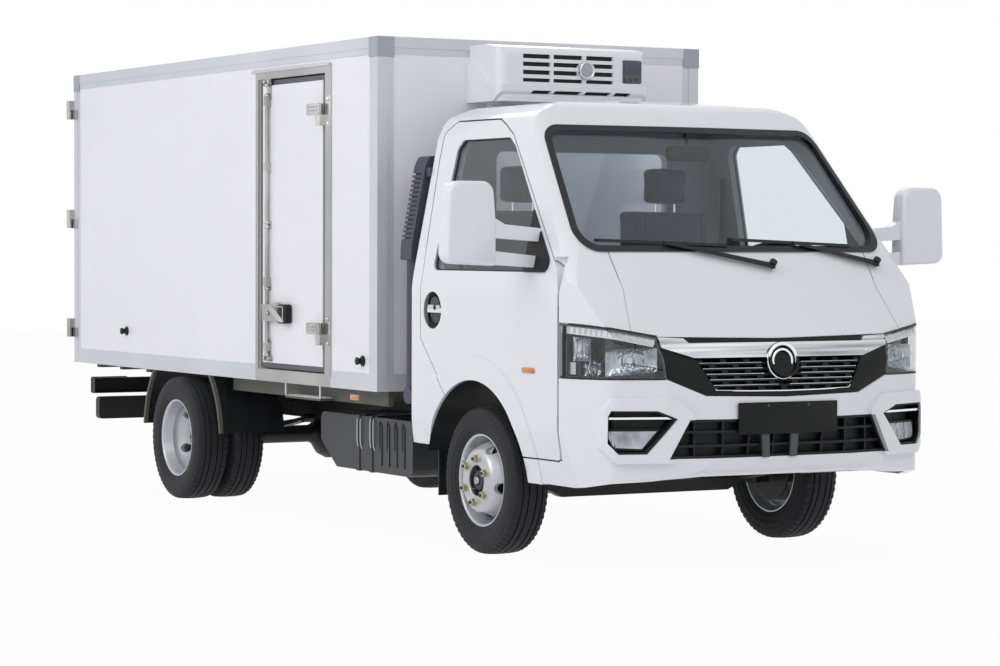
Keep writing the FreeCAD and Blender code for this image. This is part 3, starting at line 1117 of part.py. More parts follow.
def cab():
    """Hollow cab split into its panels, doors, lamps and glass"""
    wide = CAB_HALF_WIDTH + OVERRUN * 20
    near = ARCH_INNER_X
    outer = cab_form(0)
    inner = cab_form(CAB_WALL)
    shell = outer.cut(inner).cut(inner.translated(Vector(0, 0, -CAB_WALL - OVERRUN)))
    shell = bossed(shell)
    for side in (-1, 1):
        start, end = Vector(side * near, FRONT_AXLE_Y, AXLE_Z), Vector(side * wide, FRONT_AXLE_Y, AXLE_Z)
        shell = shell.cut(rod(ARCH_RADIUS, start, end))
    return_y, skirt_z = cab_spot(BUMPER_RETURN_SHARE, DOOR_BOTTOM_SHARE)
    shell = shell.cut(block(-wide, wide, return_y, CAB_REAR_Y + OVERRUN, 0, skirt_z))
    seams = panel_seams()
    shell = shell.cut(seams)

    pin_y = door_front_y() + DOOR_PIN_SETBACK
    pin_x = CAB_HALF_WIDTH - DOOR_PIN_INSET
    swing = math.hypot(DOOR_PIN_INSET, DOOR_PIN_SETBACK) + DOOR_GAP
    door_points = [cab_spot(a, b) for a, b in DOOR_SHARES]
    window_points = [cab_spot(a, b) for a, b in DOOR_WINDOW_SHARES]
    swept = []
    for side, name in ((-1, "right"), (1, "left")):
        door_zone = prism_x(door_points, side * near, side * wide, DOOR_CORNER)
        hole_zone = prism_x(inset(door_points, -DOOR_GAP), side * near, side * wide, DOOR_CORNER)
        window = prism_x(window_points, side * near, side * wide, WINDOW_CORNER)
        door = max(shell.common(door_zone).cut(window).Solids, key=lambda s: s.Volume)
        for share in DOOR_HINGE_SHARES:
            seat, door = cab_hinge(side, pin_x, pin_y, cab_spot(0, share)[1], door, inner)
            keep("hinge_seats", seat)
        keep("cab_door_" + name, door_handle(side, door))
        glass_layer = cab_layer(GLASS_DEPTH, GLASS_DEPTH + GLASS_THICKNESS)
        keep("cab_door_glass_" + name, glass_layer.common(window))
        relief_top = cab_spot(0, DOOR_RELIEF_SHARE)[1]
        relief_foot = Vector(side * pin_x, pin_y, skirt_z)
        relief = rod(swing, relief_foot, relief_foot + Vector(0, 0, relief_top - skirt_z))
        shell = shell.cut(hole_zone).cut(relief)
        swept += [hole_zone, relief]
    shell = shell.cut(window_glass())

    grille_set(seams)
    shell = shell.cut(nose_prism(whole(across(GRILLE_SHARES))))
    headlamp_set([seams] + swept)
    for side in (-1, 1):
        shell = shell.cut(nose_prism(across(LAMP_SHARES, side)))
    shell = shell.cut(lower_grille_set())
    for opening in fog_lamp_set():
        shell = shell.cut(opening)
    bumper_z = cab_spot(0, LAMP_LOW_SHARE)[1]
    cut_y = door_front_y()
    nose_front = FRONT_Y - CAB_WALL
    bumper_zone = block(-wide, wide, nose_front, cut_y, 0, bumper_z)
    bumper_zone = bumper_zone.fuse(block(-wide, wide, cut_y - OVERRUN, return_y, 0, skirt_z))
    keep("front_bumper", max(shell.common(bumper_zone).Solids, key=lambda s: s.Volume))
    shell = shell.cut(bumper_zone)

    roof_z = cab_spot(0, ROOF_LINE_SHARE)[1]
    roof_zone = block(-wide, wide, nose_front, CAB_REAR_Y + OVERRUN, roof_z, CAB_TOP_Z + OVERRUN)
    keep("cab_roof", shell.common(roof_zone))
    shell = shell.cut(roof_zone)
    back_zone = block(-wide, wide, CAB_REAR_Y - CAB_WALL, CAB_REAR_Y + OVERRUN, 0, roof_z)
    half, top = CAB_HALF_WIDTH * BACK_PASSAGE_SHARE, cab_spot(0, FLOOR_HIGH_SHARE)[1] - FLOOR_THICKNESS
    passage = block(-half, half, CAB_REAR_Y - CAB_WALL, CAB_REAR_Y + OVERRUN, 0, top)
    back = shell.common(back_zone).cut(passage)
    keep("cab_back_panel", max(back.Solids, key=lambda s: s.Volume))
    shell = shell.cut(back_zone)
    hood = prism_y(whole(across(HOOD_SHARES)), nose_front, FRONT_AXLE_Y)
    keep("cab_front_panel", shell.common(hood))
    shell = shell.cut(hood)
    for side in (-1, 1):
        half_zone = block(0, side * wide, nose_front, CAB_REAR_Y, 0, roof_z)
        keep("cab_side_frames", *[p for p in shell.common(half_zone).Solids if p.Volume > SLIVER_VOLUME])
    wiper_set()
    return outer, inner


def cab_mounts():
    """Rubber mounts between the rails and the cab floor, low in front and on posts behind"""
    x, r = RAIL_OUTER_X - RAIL_FLANGE / 2, RAIL_FLANGE / 2
    made = []
    for share, floor_share in zip(CAB_MOUNT_SHARES, (FLOOR_LOW_SHARE, FLOOR_HIGH_SHARE)):
        y, top = cab_spot(share, 0)[0], cab_spot(0, floor_share)[1] - FLOOR_THICKNESS
        made += [rod(r, Vector(side * x, y, RAIL_TOP_Z), Vector(side * x, y, top)) for side in (-1, 1)]
    return made


def cab_inside(inner):
    """Floor, seats, dashboard and steering wheel, which show through the glass"""
    half = CAB_HALF_WIDTH - CAB_WALL - RUNNING_GAP * 5
    low_y, low_z = cab_spot(0.13, FLOOR_LOW_SHARE)
    step_y, high_z = cab_spot(FLOOR_STEP_SHARE, FLOOR_HIGH_SHARE)
    rear = CAB_REAR_Y - CAB_WALL
    t = FLOOR_THICKNESS
    points = [(low_y, low_z), (step_y, low_z), (step_y, high_z), (rear, high_z), (rear, high_z - t),
              (step_y + t, high_z - t), (step_y + t, low_z - t), (low_y, low_z - t)]
    keep("cab_floor", prism_x(points, -half, half).common(inner).fuse(cab_mounts()).removeSplitter())
    for side in (-1, 1):
        middle = side * SEAT_X
        y0 = step_y + t
        cushion = block(middle - SEAT_WIDTH / 2, middle + SEAT_WIDTH / 2, y0, rear - SEAT_BACK_DEPTH,
                        high_z, high_z + SEAT_CUSHION)
        back = prism_x([(rear - SEAT_BACK_DEPTH, high_z), (rear - RUNNING_GAP * 3, high_z),
                        (rear - RUNNING_GAP, high_z + SEAT_BACK_HEIGHT),
                        (rear - SEAT_BACK_DEPTH * 0.7, high_z + SEAT_BACK_HEIGHT)],
                       middle - SEAT_WIDTH / 2, middle + SEAT_WIDTH / 2, SEAT_BACK_DEPTH * 0.3)
        keep("seats", cushion.fuse(back).removeSplitter())
    dash = [cab_spot(a, b) for a, b in DASH_SHARES]
    panel = prism_x(dash, -half * 0.9, half * 0.9, DASH_EDGE)
    hub = Vector(SEAT_X, *cab_spot(WHEEL_Y_SHARE, WHEEL_Z_SHARE))
    lean = Vector(0, math.sin(math.radians(WHEEL_LEAN)), math.cos(math.radians(WHEEL_LEAN)))
    turns = [2 * math.pi * (i + 0.5) / STEERING_RIM_SIDES for i in range(STEERING_RIM_SIDES)]
    rim_points = [hub + Vector(STEERING_WHEEL_RADIUS + STEERING_RIM_RADIUS * math.cos(turn), 0, 0)
                  + lean * STEERING_RIM_RADIUS * math.sin(turn) for turn in turns]
    hoop = Part.Face(Part.makePolygon(rim_points + rim_points[:1])).revolve(hub, lean, 360)
    boss = rod(STEERING_BOSS_RADIUS, hub - lean * STEERING_BOSS_RADIUS, hub)
    across = Vector(1, 0, 0)
    reach = across * STEERING_WHEEL_RADIUS
    spoke = rod(STEERING_RIM_RADIUS * 0.8, hub - reach, hub + reach)
    keep("steering_wheel", hoop.fuse([boss, spoke.translated(lean * -STEERING_RIM_RADIUS)]).removeSplitter())
    foot = hub - lean * STEERING_COLUMN_LENGTH
    column = rod(STEERING_RIM_RADIUS * 2, foot, hub - lean * (STEERING_BOSS_RADIUS + SEAT_GAP))
    keep("dashboard", panel.common(inner).fuse(column).removeSplitter())


def box_shell():
    """Insulated box: floor, roof, walls and rear frame as separate panels"""
    w, t = BOX_HALF_WIDTH, BOX_WALL
    y0, y1 = BOX_FRONT_Y, BOX_REAR_Y
    z0, z1 = BOX_BOTTOM_Z, BOX_TOP_Z
    keep("box_floor", block(-w + t, w - t, y0 + t, y1 - t, BOX_FLOOR_BOTTOM_Z, BOX_FLOOR_TOP_Z))
    keep("box_roof", block(-w + t, w - t, y0 + t, y1 - t, z1 - t, z1))
    keep("box_front_wall", block(-w, w, y0, y0 + t, BOX_FLOOR_BOTTOM_Z, z1))
    keep("box_side_walls", block(w - t, w, y0 + t, y1 - t, z0, z1))
    wall = block(-w, -w + t, y0 + t, y1 - t, z0, z1)
    hole = block(-w - OVERRUN, -w + t + OVERRUN, SIDE_OPENING_FRONT_Y, SIDE_OPENING_REAR_Y,
                 SIDE_OPENING_BOTTOM_Z, SIDE_OPENING_TOP_Z)
    keep("box_side_walls", wall.cut(hole))
    frame = block(-w, w, y1 - t, y1, z0, z1)
    hole = block(-w + REAR_POST, w - REAR_POST, y1 - t - OVERRUN, y1 + OVERRUN,
                 REAR_SILL_TOP_Z, REAR_HEADER_Z)
    keep("box_rear_frame", frame.cut(hole))


def box_trim():
    """Stepped aluminium rails and posts along the box edges, with caps on the top corners"""
    w, p = BOX_HALF_WIDTH, TRIM_PROUD
    y0, y1 = BOX_FRONT_Y, BOX_REAR_Y
    z0, z1 = BOX_BOTTOM_Z, BOX_TOP_Z
    post, rail = CORNER_POST * TRIM_STEP_SHARE, RAIL_TRIM * TRIM_STEP_SHARE
    opening = block(-w, -w - p * 2, SIDE_FRAME_FRONT_Y, SIDE_FRAME_REAR_Y, z0 - OVERRUN, SIDE_FRAME_TOP_Z)
    for side in (-1, 1):
        plate = block(side * w, side * (w + p), y0, y1, z0, z1)
        window = block(side * (w - p), side * (w + p * 2), y0 + CORNER_POST, y1 - CORNER_POST,
                       z0 + RAIL_TRIM, z1 - RAIL_TRIM)
        step = block(side * (w + p / 2), side * (w + p * 2), y0 + post, y1 - post, z0 + rail, z1 - rail)
        trim = plate.cut(window).cut(step)
        keep("box_trim", trim.cut(opening) if side < 0 else trim)
        for y, way in ((y0, -1), (y1, 1)):
            out = y + way * (p + CAP_PROUD) if way < 0 else y
            cap = block(side * (w - CORNER_POST), side * (w + p + CAP_PROUD), out, y - way * CORNER_POST,
                        z1 - CAP_HEIGHT, z1)
            keep("box_trim", cap.cut(block(-w - p, w + p, y0 - p, y1, z0, z1)))
    plate = block(-w - p, w + p, y0 - p, y0, z0, z1)
    window = block(-w + CORNER_POST, w - CORNER_POST, y0 - p * 2, y0 + p, z0 + RAIL_TRIM, z1 - RAIL_TRIM)
    step = block(-w + post, w - post, y0 - p * 2, y0 - p / 2, z0 + rail, z1 - rail)
    keep("box_trim", plate.cut(window).cut(step))


def hinge_set(name_fixed, name_moving, pin, heights, fixed_leaf, moving_leaf):
    """Hinge barrels on one pin line, with a leaf on each side"""
    for z in heights:
        low, mid, high = z - HINGE_HEIGHT / 2, z, z + HINGE_HEIGHT / 2
        axis = Vector(0, 0, 1)
        foot = Vector(pin[0], pin[1], low)
        lower = rod(HINGE_BARREL_RADIUS, foot, foot + axis * (HINGE_HEIGHT / 2 - SEAT_GAP))
        upper = rod(HINGE_BARREL_RADIUS, foot + axis * (HINGE_HEIGHT / 2), foot + axis * HINGE_HEIGHT)
        spindle = rod(HINGE_PIN_RADIUS, foot, foot + axis * (HINGE_HEIGHT * 0.75))
        bore = rod(HINGE_PIN_RADIUS + PIN_PLAY, foot, foot + axis * (HINGE_HEIGHT * 0.76))
        fixed = lower.fuse([spindle, fixed_leaf(low, mid - SEAT_GAP)]).removeSplitter()
        moving = upper.fuse(moving_leaf(mid, high)).cut(bore).removeSplitter()
        keep(name_fixed, fixed)
        keep(name_moving, moving)


def side_door():
    """Side door of the box in its steel frame"""
    w, p = BOX_HALF_WIDTH, TRIM_PROUD
    y0, y1 = SIDE_OPENING_FRONT_Y, SIDE_OPENING_REAR_Y
    z0, z1 = SIDE_OPENING_BOTTOM_Z, SIDE_OPENING_TOP_Z
    plate = block(-w - p, -w, SIDE_FRAME_FRONT_Y, SIDE_FRAME_REAR_Y, BOX_BOTTOM_Z, SIDE_FRAME_TOP_Z)
    keep("side_door_frame", plate.cut(block(-w - p * 2, -w + p, y0, y1, z0, z1)))
    g = SIDE_LEAF_EDGE_GAP
    leaf = block(-w, -w + BOX_WALL, y0 + SIDE_LEAF_FRONT_GAP, y1 - SIDE_LEAF_REAR_GAP, z0 + g, z1 - g)
    keep("side_door_leaf", leaf)
    r = RUNNING_GAP
    seal = block(-w + p, -w + p * 4, y0 + r, y1 - r, z0 + r, z1 - r)
    keep("side_door_seal", seal.cut(block(-w, -w + p * 5, y0 + SIDE_LEAF_FRONT_GAP, y1 - SIDE_LEAF_REAR_GAP,
                                          z0 + g, z1 - g)))
    pin = (-SIDE_PIN_X, y0 + SIDE_LEAF_FRONT_GAP - SIDE_PIN_SETBACK)
    heights = [BOX_BOTTOM_Z + (BOX_TOP_Z - BOX_BOTTOM_Z) * share for share in SIDE_HINGE_SHARES]

    def fixed_leaf(low, high):
        arm = block(pin[0], -w - p, pin[1] - HINGE_BARREL_RADIUS, pin[1], low, high)
        return arm.fuse(block(-w - p * 2, -w - p, SIDE_FRAME_FRONT_Y + p, pin[1], low, high))

    def moving_leaf(low, high):
        end = pin[1] + HINGE_HEIGHT
        arm = block(pin[0], -w - p * 2, pin[1], pin[1] + HINGE_BARREL_RADIUS, low, high)
        pad = block(-w - p * 3, -w, pin[1] + SIDE_PIN_SETBACK, end, low, high)
        return arm.fuse([pad, block(-w - p * 3, -w - p * 2, pin[1], end, low, high)])
    hinge_set("hinge_seats", "side_door_hardware", pin, heights, fixed_leaf, moving_leaf)
    rod_y = y1 - SIDE_LEAF_REAR_GAP - CORNER_POST
    spot = Vector(-w - ROD_RADIUS * 1.5, rod_y, z0 + g + RAIL_TRIM / 2)
    bar = rod(ROD_RADIUS, spot, Vector(spot.x, rod_y, z1 - g - RAIL_TRIM / 2))
    half_width, half_height = ROD_RADIUS * 1.6, ROD_RADIUS * 2
    for share in ROD_GUIDE_SHARES:
        z = spot.z + (z1 - g - RAIL_TRIM / 2 - spot.z) * share
        bar = bar.fuse(block(spot.x - ROD_RADIUS, -w, rod_y - half_width, rod_y + half_width,
                             z - half_height, z + half_height))
    keep("side_door_hardware", bar.removeSplitter())


def rear_doors():
    """Two rear doors set in the rear frame, hinged outside the corners so that they fold along the sides"""
    w, t = BOX_HALF_WIDTH, BOX_WALL
    y1 = BOX_REAR_Y
    z0, z1 = REAR_SILL_TOP_Z + REAR_DOOR_GAP, REAR_HEADER_Z - REAR_DOOR_GAP
    heights = [BOX_BOTTOM_Z + (BOX_TOP_Z - BOX_BOTTOM_Z) * share for share in (0.12, 0.5, 0.88)]
    for side, name in ((-1, "right"), (1, "left")):
        x_out, x_in = side * (w - REAR_POST - REAR_DOOR_GAP), side * REAR_MIDDLE_GAP / 2
        leaf = block(x_in, x_out, y1 - t, y1, z0, z1)
        lip = block(side * MIDDLE_LIP_GAP, x_in, y1 - LIP_DEPTH, y1, z0, z1)
        keep("rear_door_" + name, leaf.fuse(lip).removeSplitter())
        pin = (side * REAR_PIN_X, REAR_PIN_Y)
        r, p = HINGE_BARREL_RADIUS, TRIM_PROUD

        def fixed_leaf(low, high, side=side, pin=pin):
            start = BOX_REAR_Y - HINGE_HEIGHT / 2
            return block(side * (w + p), side * (w + p * 2), start, pin[1], low, high)

        def moving_leaf(low, high, side=side, pin=pin):
            bar = block(pin[0], side * (w - REAR_POST - HINGE_HEIGHT), y1, y1 + p, low, high)
            arm = block(pin[0] - side * r, pin[0], y1, pin[1], low, high)
            return bar.fuse(arm)
        hinge_set("hinge_seats", "rear_door_hardware_" + name, pin, heights, fixed_leaf, moving_leaf)
        bars = []
        half_width, half_height = ROD_RADIUS * 1.6, ROD_RADIUS * 2
        for share in REAR_ROD_SHARES:
            x = side * w * share
            spot = Vector(x, y1 + ROD_RADIUS * 1.4, z0 + RAIL_TRIM / 3)
            bar = rod(ROD_RADIUS, spot, Vector(x, spot.y, z1 - RAIL_TRIM / 3))
            for z_share in ROD_GUIDE_SHARES:
                z = spot.z + (z1 - RAIL_TRIM / 3 - spot.z) * z_share
                bar = bar.fuse(block(x - half_width, x + half_width, y1, spot.y + ROD_RADIUS,
                                     z - half_height, z + half_height))
            bars.append(bar.removeSplitter())
        keep("rear_door_hardware_" + name, *bars)


def refrigeration_unit():
    """Cooling unit high on the front wall: slotted face over a proud skirt with a rising ledge"""
    rear = BOX_FRONT_Y - SEAT_GAP
    half, front, low, top = UNIT_HALF_WIDTH, UNIT_FRONT_Y, UNIT_BOTTOM_Z, UNIT_TOP_Z
    height, c, s = top - low, UNIT_CORNER, UNIT_STEP
    plan = [(-half, rear + s), (-half, front), (half, front), (half, rear + s)]
    side = [(rear, low), (rear, top), (front + height / 2, top), (front, top - s * 2), (front, low)]
    body = prism_z(inset(plan, s), low, top, [0, c, c, 0]).common(
        prism_x([(y + s, z) if y < rear else (y, z) for y, z in side], -half, half, [0, c / 2, c, c, 0]))
    ledge = [(rear, low), (rear, UNIT_LEDGE_REAR_Z), (rear - c, UNIT_LEDGE_REAR_Z),
             (rear - height * 0.75, UNIT_LEDGE_Z), (front, UNIT_LEDGE_Z), (front, low + c), (front + c, low)]
    skirt = prism_x(ledge, -half, half, [0, 0, c, c, s / 2, c / 2, c / 2]).common(
        prism_z(plan, low, top, [0, c * 0.7, c * 0.7, 0]))
    unit = body.fuse(skirt).removeSplitter()

    def spot(x_share, z_share):
        return half * x_share, low + height * z_share
    for x0, x1 in UNIT_COLUMN_SHARES:
        for z0, z1 in UNIT_ROW_SHARES:
            (xa, za), (xb, zb) = spot(x0, z0), spot(x1, z1)
            unit = unit.cut(block(xa, xb, front - OVERRUN, front + UNIT_SLOT_DEPTH, za, zb))
    for x0, x1 in UNIT_LOW_COLUMN_SHARES:
        (xa, za), (xb, zb) = spot(x0, UNIT_LOW_ROW_SHARES[0]), spot(x1, UNIT_LOW_ROW_SHARES[1])
        lean = (zb - za) / 2
        points = [(xa, za), (xb - lean, za), (xb + lean, zb), (xa + lean * 2, zb)]
        unit = unit.cut(prism_y(points, front - OVERRUN, front + UNIT_SLOT_DEPTH))
    x, z = spot(*UNIT_BOSS_SHARES)
    boss_foot = Vector(x, front + UNIT_SLOT_DEPTH, z)
    unit = unit.fuse(rod(UNIT_BOSS_RADIUS, boss_foot, Vector(x, front + s / 2, z)))
    x0, x1, z0, z1 = UNIT_PANEL_SHARES
    (xa, za), (xb, zb) = spot(x0, z0), spot(x1, z1)
    unit = unit.cut(block(xa, xb, front, front + s * 1.5, za, zb))
    foot = UNIT_FOOT_WIDTH
    x = -half * UNIT_FOOT_SHARE
    hose = block(x - foot / 2, x + foot / 2, rear - foot, rear, low - foot, low)
    rail_z = BOX_TOP_Z - RAIL_TRIM - SEAT_GAP
    rail = block(-half, half, rear - TRIM_PROUD, rear + s, rail_z, top + OVERRUN)
    wall = block(-half, half, rear, rear + s * 2, 0, top + OVERRUN)
    keep("refrigeration_unit", unit.fuse(hose).cut(rail).cut(wall).removeSplitter())


def guard(side, way):
    """Curved rear mudguard with ribs, before or behind the wheel"""
    x0, x1 = side * GUARD_INNER_X, side * GUARD_OUTER_X
    axis_in, axis_out = Vector(x0, REAR_AXLE_Y, AXLE_Z), Vector(x1, REAR_AXLE_Y, AXLE_Z)
    r, t = GUARD_RADIUS, GUARD_THICKNESS
    far = REAR_AXLE_Y + way * r * 2
    reach = block(side * RAIL_OUTER_X, side * BOX_HALF_WIDTH * 2, REAR_AXLE_Y, far,
                  GUARD_LOW_Z, BOX_BOTTOM_Z - SEAT_GAP)
    band_start = Vector(x1 - side * GUARD_BAND, REAR_AXLE_Y, AXLE_Z)
    sheet = ring(r + t, r, axis_in, band_start).common(reach)
    span = x1 - x0
    for share in GUARD_RIB_SHARES:
        x = x0 + span * share
        start = Vector(x, REAR_AXLE_Y, AXLE_Z)
        end = start + Vector(side * GUARD_RIB_WIDTH, 0, 0)
        sheet = sheet.fuse(ring(r + t * 2, r + t / 2, start, end).common(reach))
    band = ring(r + t * 2, r - t, band_start, axis_out).common(reach)
    drop = GUARD_STAY_Z - AXLE_Z
    y = REAR_AXLE_Y + way * math.sqrt((r + t) ** 2 - drop ** 2)
    stay = block(side * RAIL_OUTER_X, x0 + side * GUARD_BAND, y - BAND_HALF, y + BAND_HALF,
                 GUARD_STAY_Z - BAND_HALF, GUARD_STAY_Z + BAND_HALF)
    sheet = sheet.fuse(stay.cut(rod(r, axis_in, axis_out))).removeSplitter()
    keep("mudguards", sheet, band)


def tank_and_case():
    """Fuel tank with straps and ribs on the right, battery case on the left"""
    w = RAIL_OUTER_X
    x0, x1 = -w - TANK_GAP, -w - TANK_GAP - TANK_WIDTH
    profile = scaled(TANK_SHARES, (TANK_FRONT_Y, TANK_BOTTOM_Z), (TANK_LENGTH, TANK_HEIGHT))
    tank = prism_x(profile, x0, x1, TANK_CORNER)
    strap_form = prism_x(inset(profile, -TANK_STRAP_PROUD), x0, x1 - TANK_STRAP_PROUD, TANK_CORNER)
    top = TANK_BOTTOM_Z + TANK_HEIGHT
    for share in TANK_STRAP_SHARES:
        y = TANK_FRONT_Y + TANK_LENGTH * share
        slab = block(x0, x1 - TANK_CORNER, y, y + TANK_STRAP_WIDTH, 0, top + TANK_CORNER)
        tank = tank.fuse(strap_form.common(slab))
        tank = tank.fuse(block(-w, x0, y, y + TANK_STRAP_WIDTH, RAIL_TOP_Z - RAIL_HEIGHT, top))
    for share in TANK_RIB_SHARES:
        y = TANK_FRONT_Y + TANK_LENGTH * share
        tank = tank.fuse(block(x0, x1 - TANK_STRAP_PROUD, y, y + TANK_RIB_WIDTH,
                               TANK_BOTTOM_Z + TANK_CORNER, top - TANK_CORNER))
    keep("fuel_tank", tank.removeSplitter())
    case = block(-x0, -x1, TANK_FRONT_Y, TANK_FRONT_Y + CASE_LENGTH, TANK_BOTTOM_Z + TANK_GAP, top)
    y = TANK_FRONT_Y + CASE_LENGTH / 2
    arm = block(w, -x0, y, y + CROSS_TUBE_DEPTH, RAIL_TOP_Z - RAIL_HEIGHT, RAIL_TOP_Z - RAIL_WALL * 2)
    keep("battery_case", case.makeFillet(TANK_GAP / 2, case.Edges).fuse(arm).removeSplitter())


def rear_beams():
    """Underrun bar with its stays, and channel arms that carry the rear lamps"""
    w = RAIL_OUTER_X
    y, z = BOX_REAR_Y - UNDERRUN_SETBACK, UNDERRUN_BOTTOM_Z
    h, top = UNDERRUN_HALF, UNDERRUN_BOTTOM_Z + UNDERRUN_HEIGHT
    bar = prism_y([(-h, z), (h, z), (h, top), (-h, top)], y, y + UNDERRUN_DEPTH, UNDERRUN_CORNER)
    notch = w + UNDERRUN_STAY + SEAT_GAP
    seat_z = RAIL_TOP_Z - RAIL_HEIGHT - SEAT_GAP
    seats = block(-notch, notch, y - OVERRUN, y + UNDERRUN_DEPTH + OVERRUN, seat_z, top + OVERRUN)
    keep("underrun_bar", bar.cut(seats))
    back, t = BOX_REAR_Y - LAMP_BEAM_SETBACK, LAMP_BEAM_WALL
    low, high = LAMP_BEAM_LOW_Z, LAMP_BEAM_LOW_Z + LAMP_BEAM_HEIGHT
    for side in (-1, 1):
        keep("underrun_bar", block(side * w, side * (w + UNDERRUN_STAY), y, y + UNDERRUN_DEPTH,
                                   seat_z, RAIL_TOP_Z - RAIL_WALL))
        arm = block(side * w, side * UNDERRUN_HALF, back - LAMP_BEAM_DEPTH, back, low, high)
        hollow = block(side * w, side * (UNDERRUN_HALF - t), back - LAMP_BEAM_DEPTH - t, back - t,
                       low + t, high - t)
        keep("underrun_bar", arm.cut(hollow))


def under_body():
    """What hangs below the box and behind the cab"""
    tank_and_case()
    rear_beams()
    for side in (-1, 1):
        guard(side, -1)
        guard(side, 1)
        flap_y = FRONT_AXLE_Y + FRONT_FLAP_SETBACK
        flap = block(side * (FRONT_FLAP_X - FRONT_FLAP_WIDTH), side * FRONT_FLAP_X,
                     flap_y, flap_y + FLAP_THICKNESS, FRONT_FLAP_BOTTOM_Z, FRONT_FLAP_TOP_Z)
        stay_z = FRONT_FLAP_TOP_Z - FLAP_STAY_RADIUS * 3
        stay_y = flap_y + FLAP_THICKNESS + FLAP_STAY_RADIUS
        start = Vector(side * RAIL_OUTER_X, stay_y, stay_z)
        stay = rod(FLAP_STAY_RADIUS, start, Vector(side * FRONT_FLAP_X, stay_y, stay_z))
        keep("mudguards", flap.fuse(stay).removeSplitter())


def air_intake():
    """Ribbed intake duct on the rear wall of the cab, with its pipe down to the frame"""
    origin = (INTAKE_OUT_X - INTAKE_WIDTH, INTAKE_LOW_Z)
    points = [(-x, z) for x, z in scaled(INTAKE_SHARES, origin, (INTAKE_WIDTH, INTAKE_HEIGHT))]
    radii = [share * INTAKE_HEIGHT for share in INTAKE_RADIUS_SHARES]
    y0 = CAB_REAR_Y + INTAKE_GAP
    y1 = y0 + INTAKE_DEPTH
    duct = prism_y(points, y0, y1, radii)
    core_radii = [max(0, r - INTAKE_RIB) for r in radii]
    core = prism_y(inset(points, INTAKE_RIB), y0, y1 - INTAKE_RIB, core_radii)
    first, last = INTAKE_RIB_SPAN
    for i in range(INTAKE_RIB_COUNT):
        z = INTAKE_LOW_Z + INTAKE_HEIGHT * (first + (last - first) * i / INTAKE_RIB_COUNT)
        slot = block(-INTAKE_OUT_X, -INTAKE_OUT_X + INTAKE_WIDTH, y0 + INTAKE_RIB * 2, y1 + OVERRUN,
                     z, z + INTAKE_RIB)
        duct = duct.cut(slot.cut(core))
    x, y = -INTAKE_OUT_X + INTAKE_WIDTH * INTAKE_PIPE_SHARE, (y0 + y1) / 2
    r = INTAKE_PIPE_RADIUS
    inner_x = -RAIL_OUTER_X + RAIL_FLANGE
    pipe = rod(r, Vector(x, y, INTAKE_LOW_Z), Vector(x, y, INTAKE_PIPE_LOW_Z))
    elbow = rod(r, Vector(x - r, y, INTAKE_PIPE_LOW_Z), Vector(inner_x, y, INTAKE_PIPE_LOW_Z))
    foot = block(-RAIL_OUTER_X, inner_x, y - r / 2, y + r / 2, RAIL_TOP_Z, INTAKE_PIPE_LOW_Z)
    duct = duct.fuse([pipe, elbow, foot])
    for x_share, z_share in INTAKE_BRACKET_SHARES:
        z = INTAKE_LOW_Z + INTAKE_HEIGHT * z_share
        middle = -INTAKE_OUT_X + INTAKE_WIDTH * x_share
        duct = duct.fuse(block(middle - r / 2, middle + r / 2, CAB_REAR_Y, y0 + INTAKE_RIB, z, z + r))
    keep("air_intake", duct.removeSplitter())


def mirrors(outer):
    """Door mirrors: rounded head on two arms that stand on a corner plate of the window"""
    origin, spans = (MIRROR_FOOT_X, MIRROR_LOW_Z), (MIRROR_REACH, MIRROR_HEIGHT)
    window_points = [cab_spot(a, b) for a, b in DOOR_WINDOW_SHARES]
    plate_layer = cab_layer(-SAIL_PROUD, GLASS_DEPTH - SEAT_GAP)
    plate_end = window_points[0][0] + SAIL_REACH
    for side, name in ((-1, "right"), (1, "left")):
        window = prism_x(window_points, side * ARCH_INNER_X, side * CAB_HALF_WIDTH * 2, WINDOW_CORNER)
        corner = block(0, side * CAB_HALF_WIDTH * 2, FRONT_Y, plate_end, 0, CAB_TOP_Z)
        plate = plate_layer.common(window).common(corner)
        head_points = [(side * x, z) for x, z in scaled(MIRROR_HEAD_SHARES, origin, spans)]
        radii = [share * MIRROR_REACH for share in MIRROR_HEAD_RADIUS_SHARES]
        head = prism_y(head_points, MIRROR_Y - MIRROR_DEPTH / 2, MIRROR_Y + MIRROR_DEPTH / 2, radii)
        head = head.makeFillet(MIRROR_EDGE, head.Edges)
        for shares in MIRROR_ARM_SHARES:
            points = [(side * x, z) for x, z in scaled(shares, origin, spans)]
            half = MIRROR_ARM_DEPTH / 2
            head = head.fuse(prism_y(points, MIRROR_Y - half, MIRROR_Y + half, MIRROR_EDGE / 4))
        keep("mirror_" + name, head.cut(outer).cut(plate).removeSplitter(), plate)


front_wheels()
rear_wheels()
frame_rails()
frame_crossmembers()
box_subframe()
springs()
front_axle()
knuckles()
rear_axle()
engine()
outer_form, inner_form = cab()
cab_inside(inner_form)
box_shell()
box_trim()
side_door()
rear_doors()
refrigeration_unit()
under_body()
air_intake()
mirrors(outer_form)
os.makedirs("parts", exist_ok=True)
for name, solids in TRUCK.items():
    shape = Part.makeCompound(solids) if len(solids) > 1 else solids[0]
    shape.exportStep("parts/" + name + ".step")
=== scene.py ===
# Refrigerated truck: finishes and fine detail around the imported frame, in metres
import json
import math

import bmesh
import bpy
from mathutils import Matrix, Vector
from mathutils.bvhtree import BVHTree


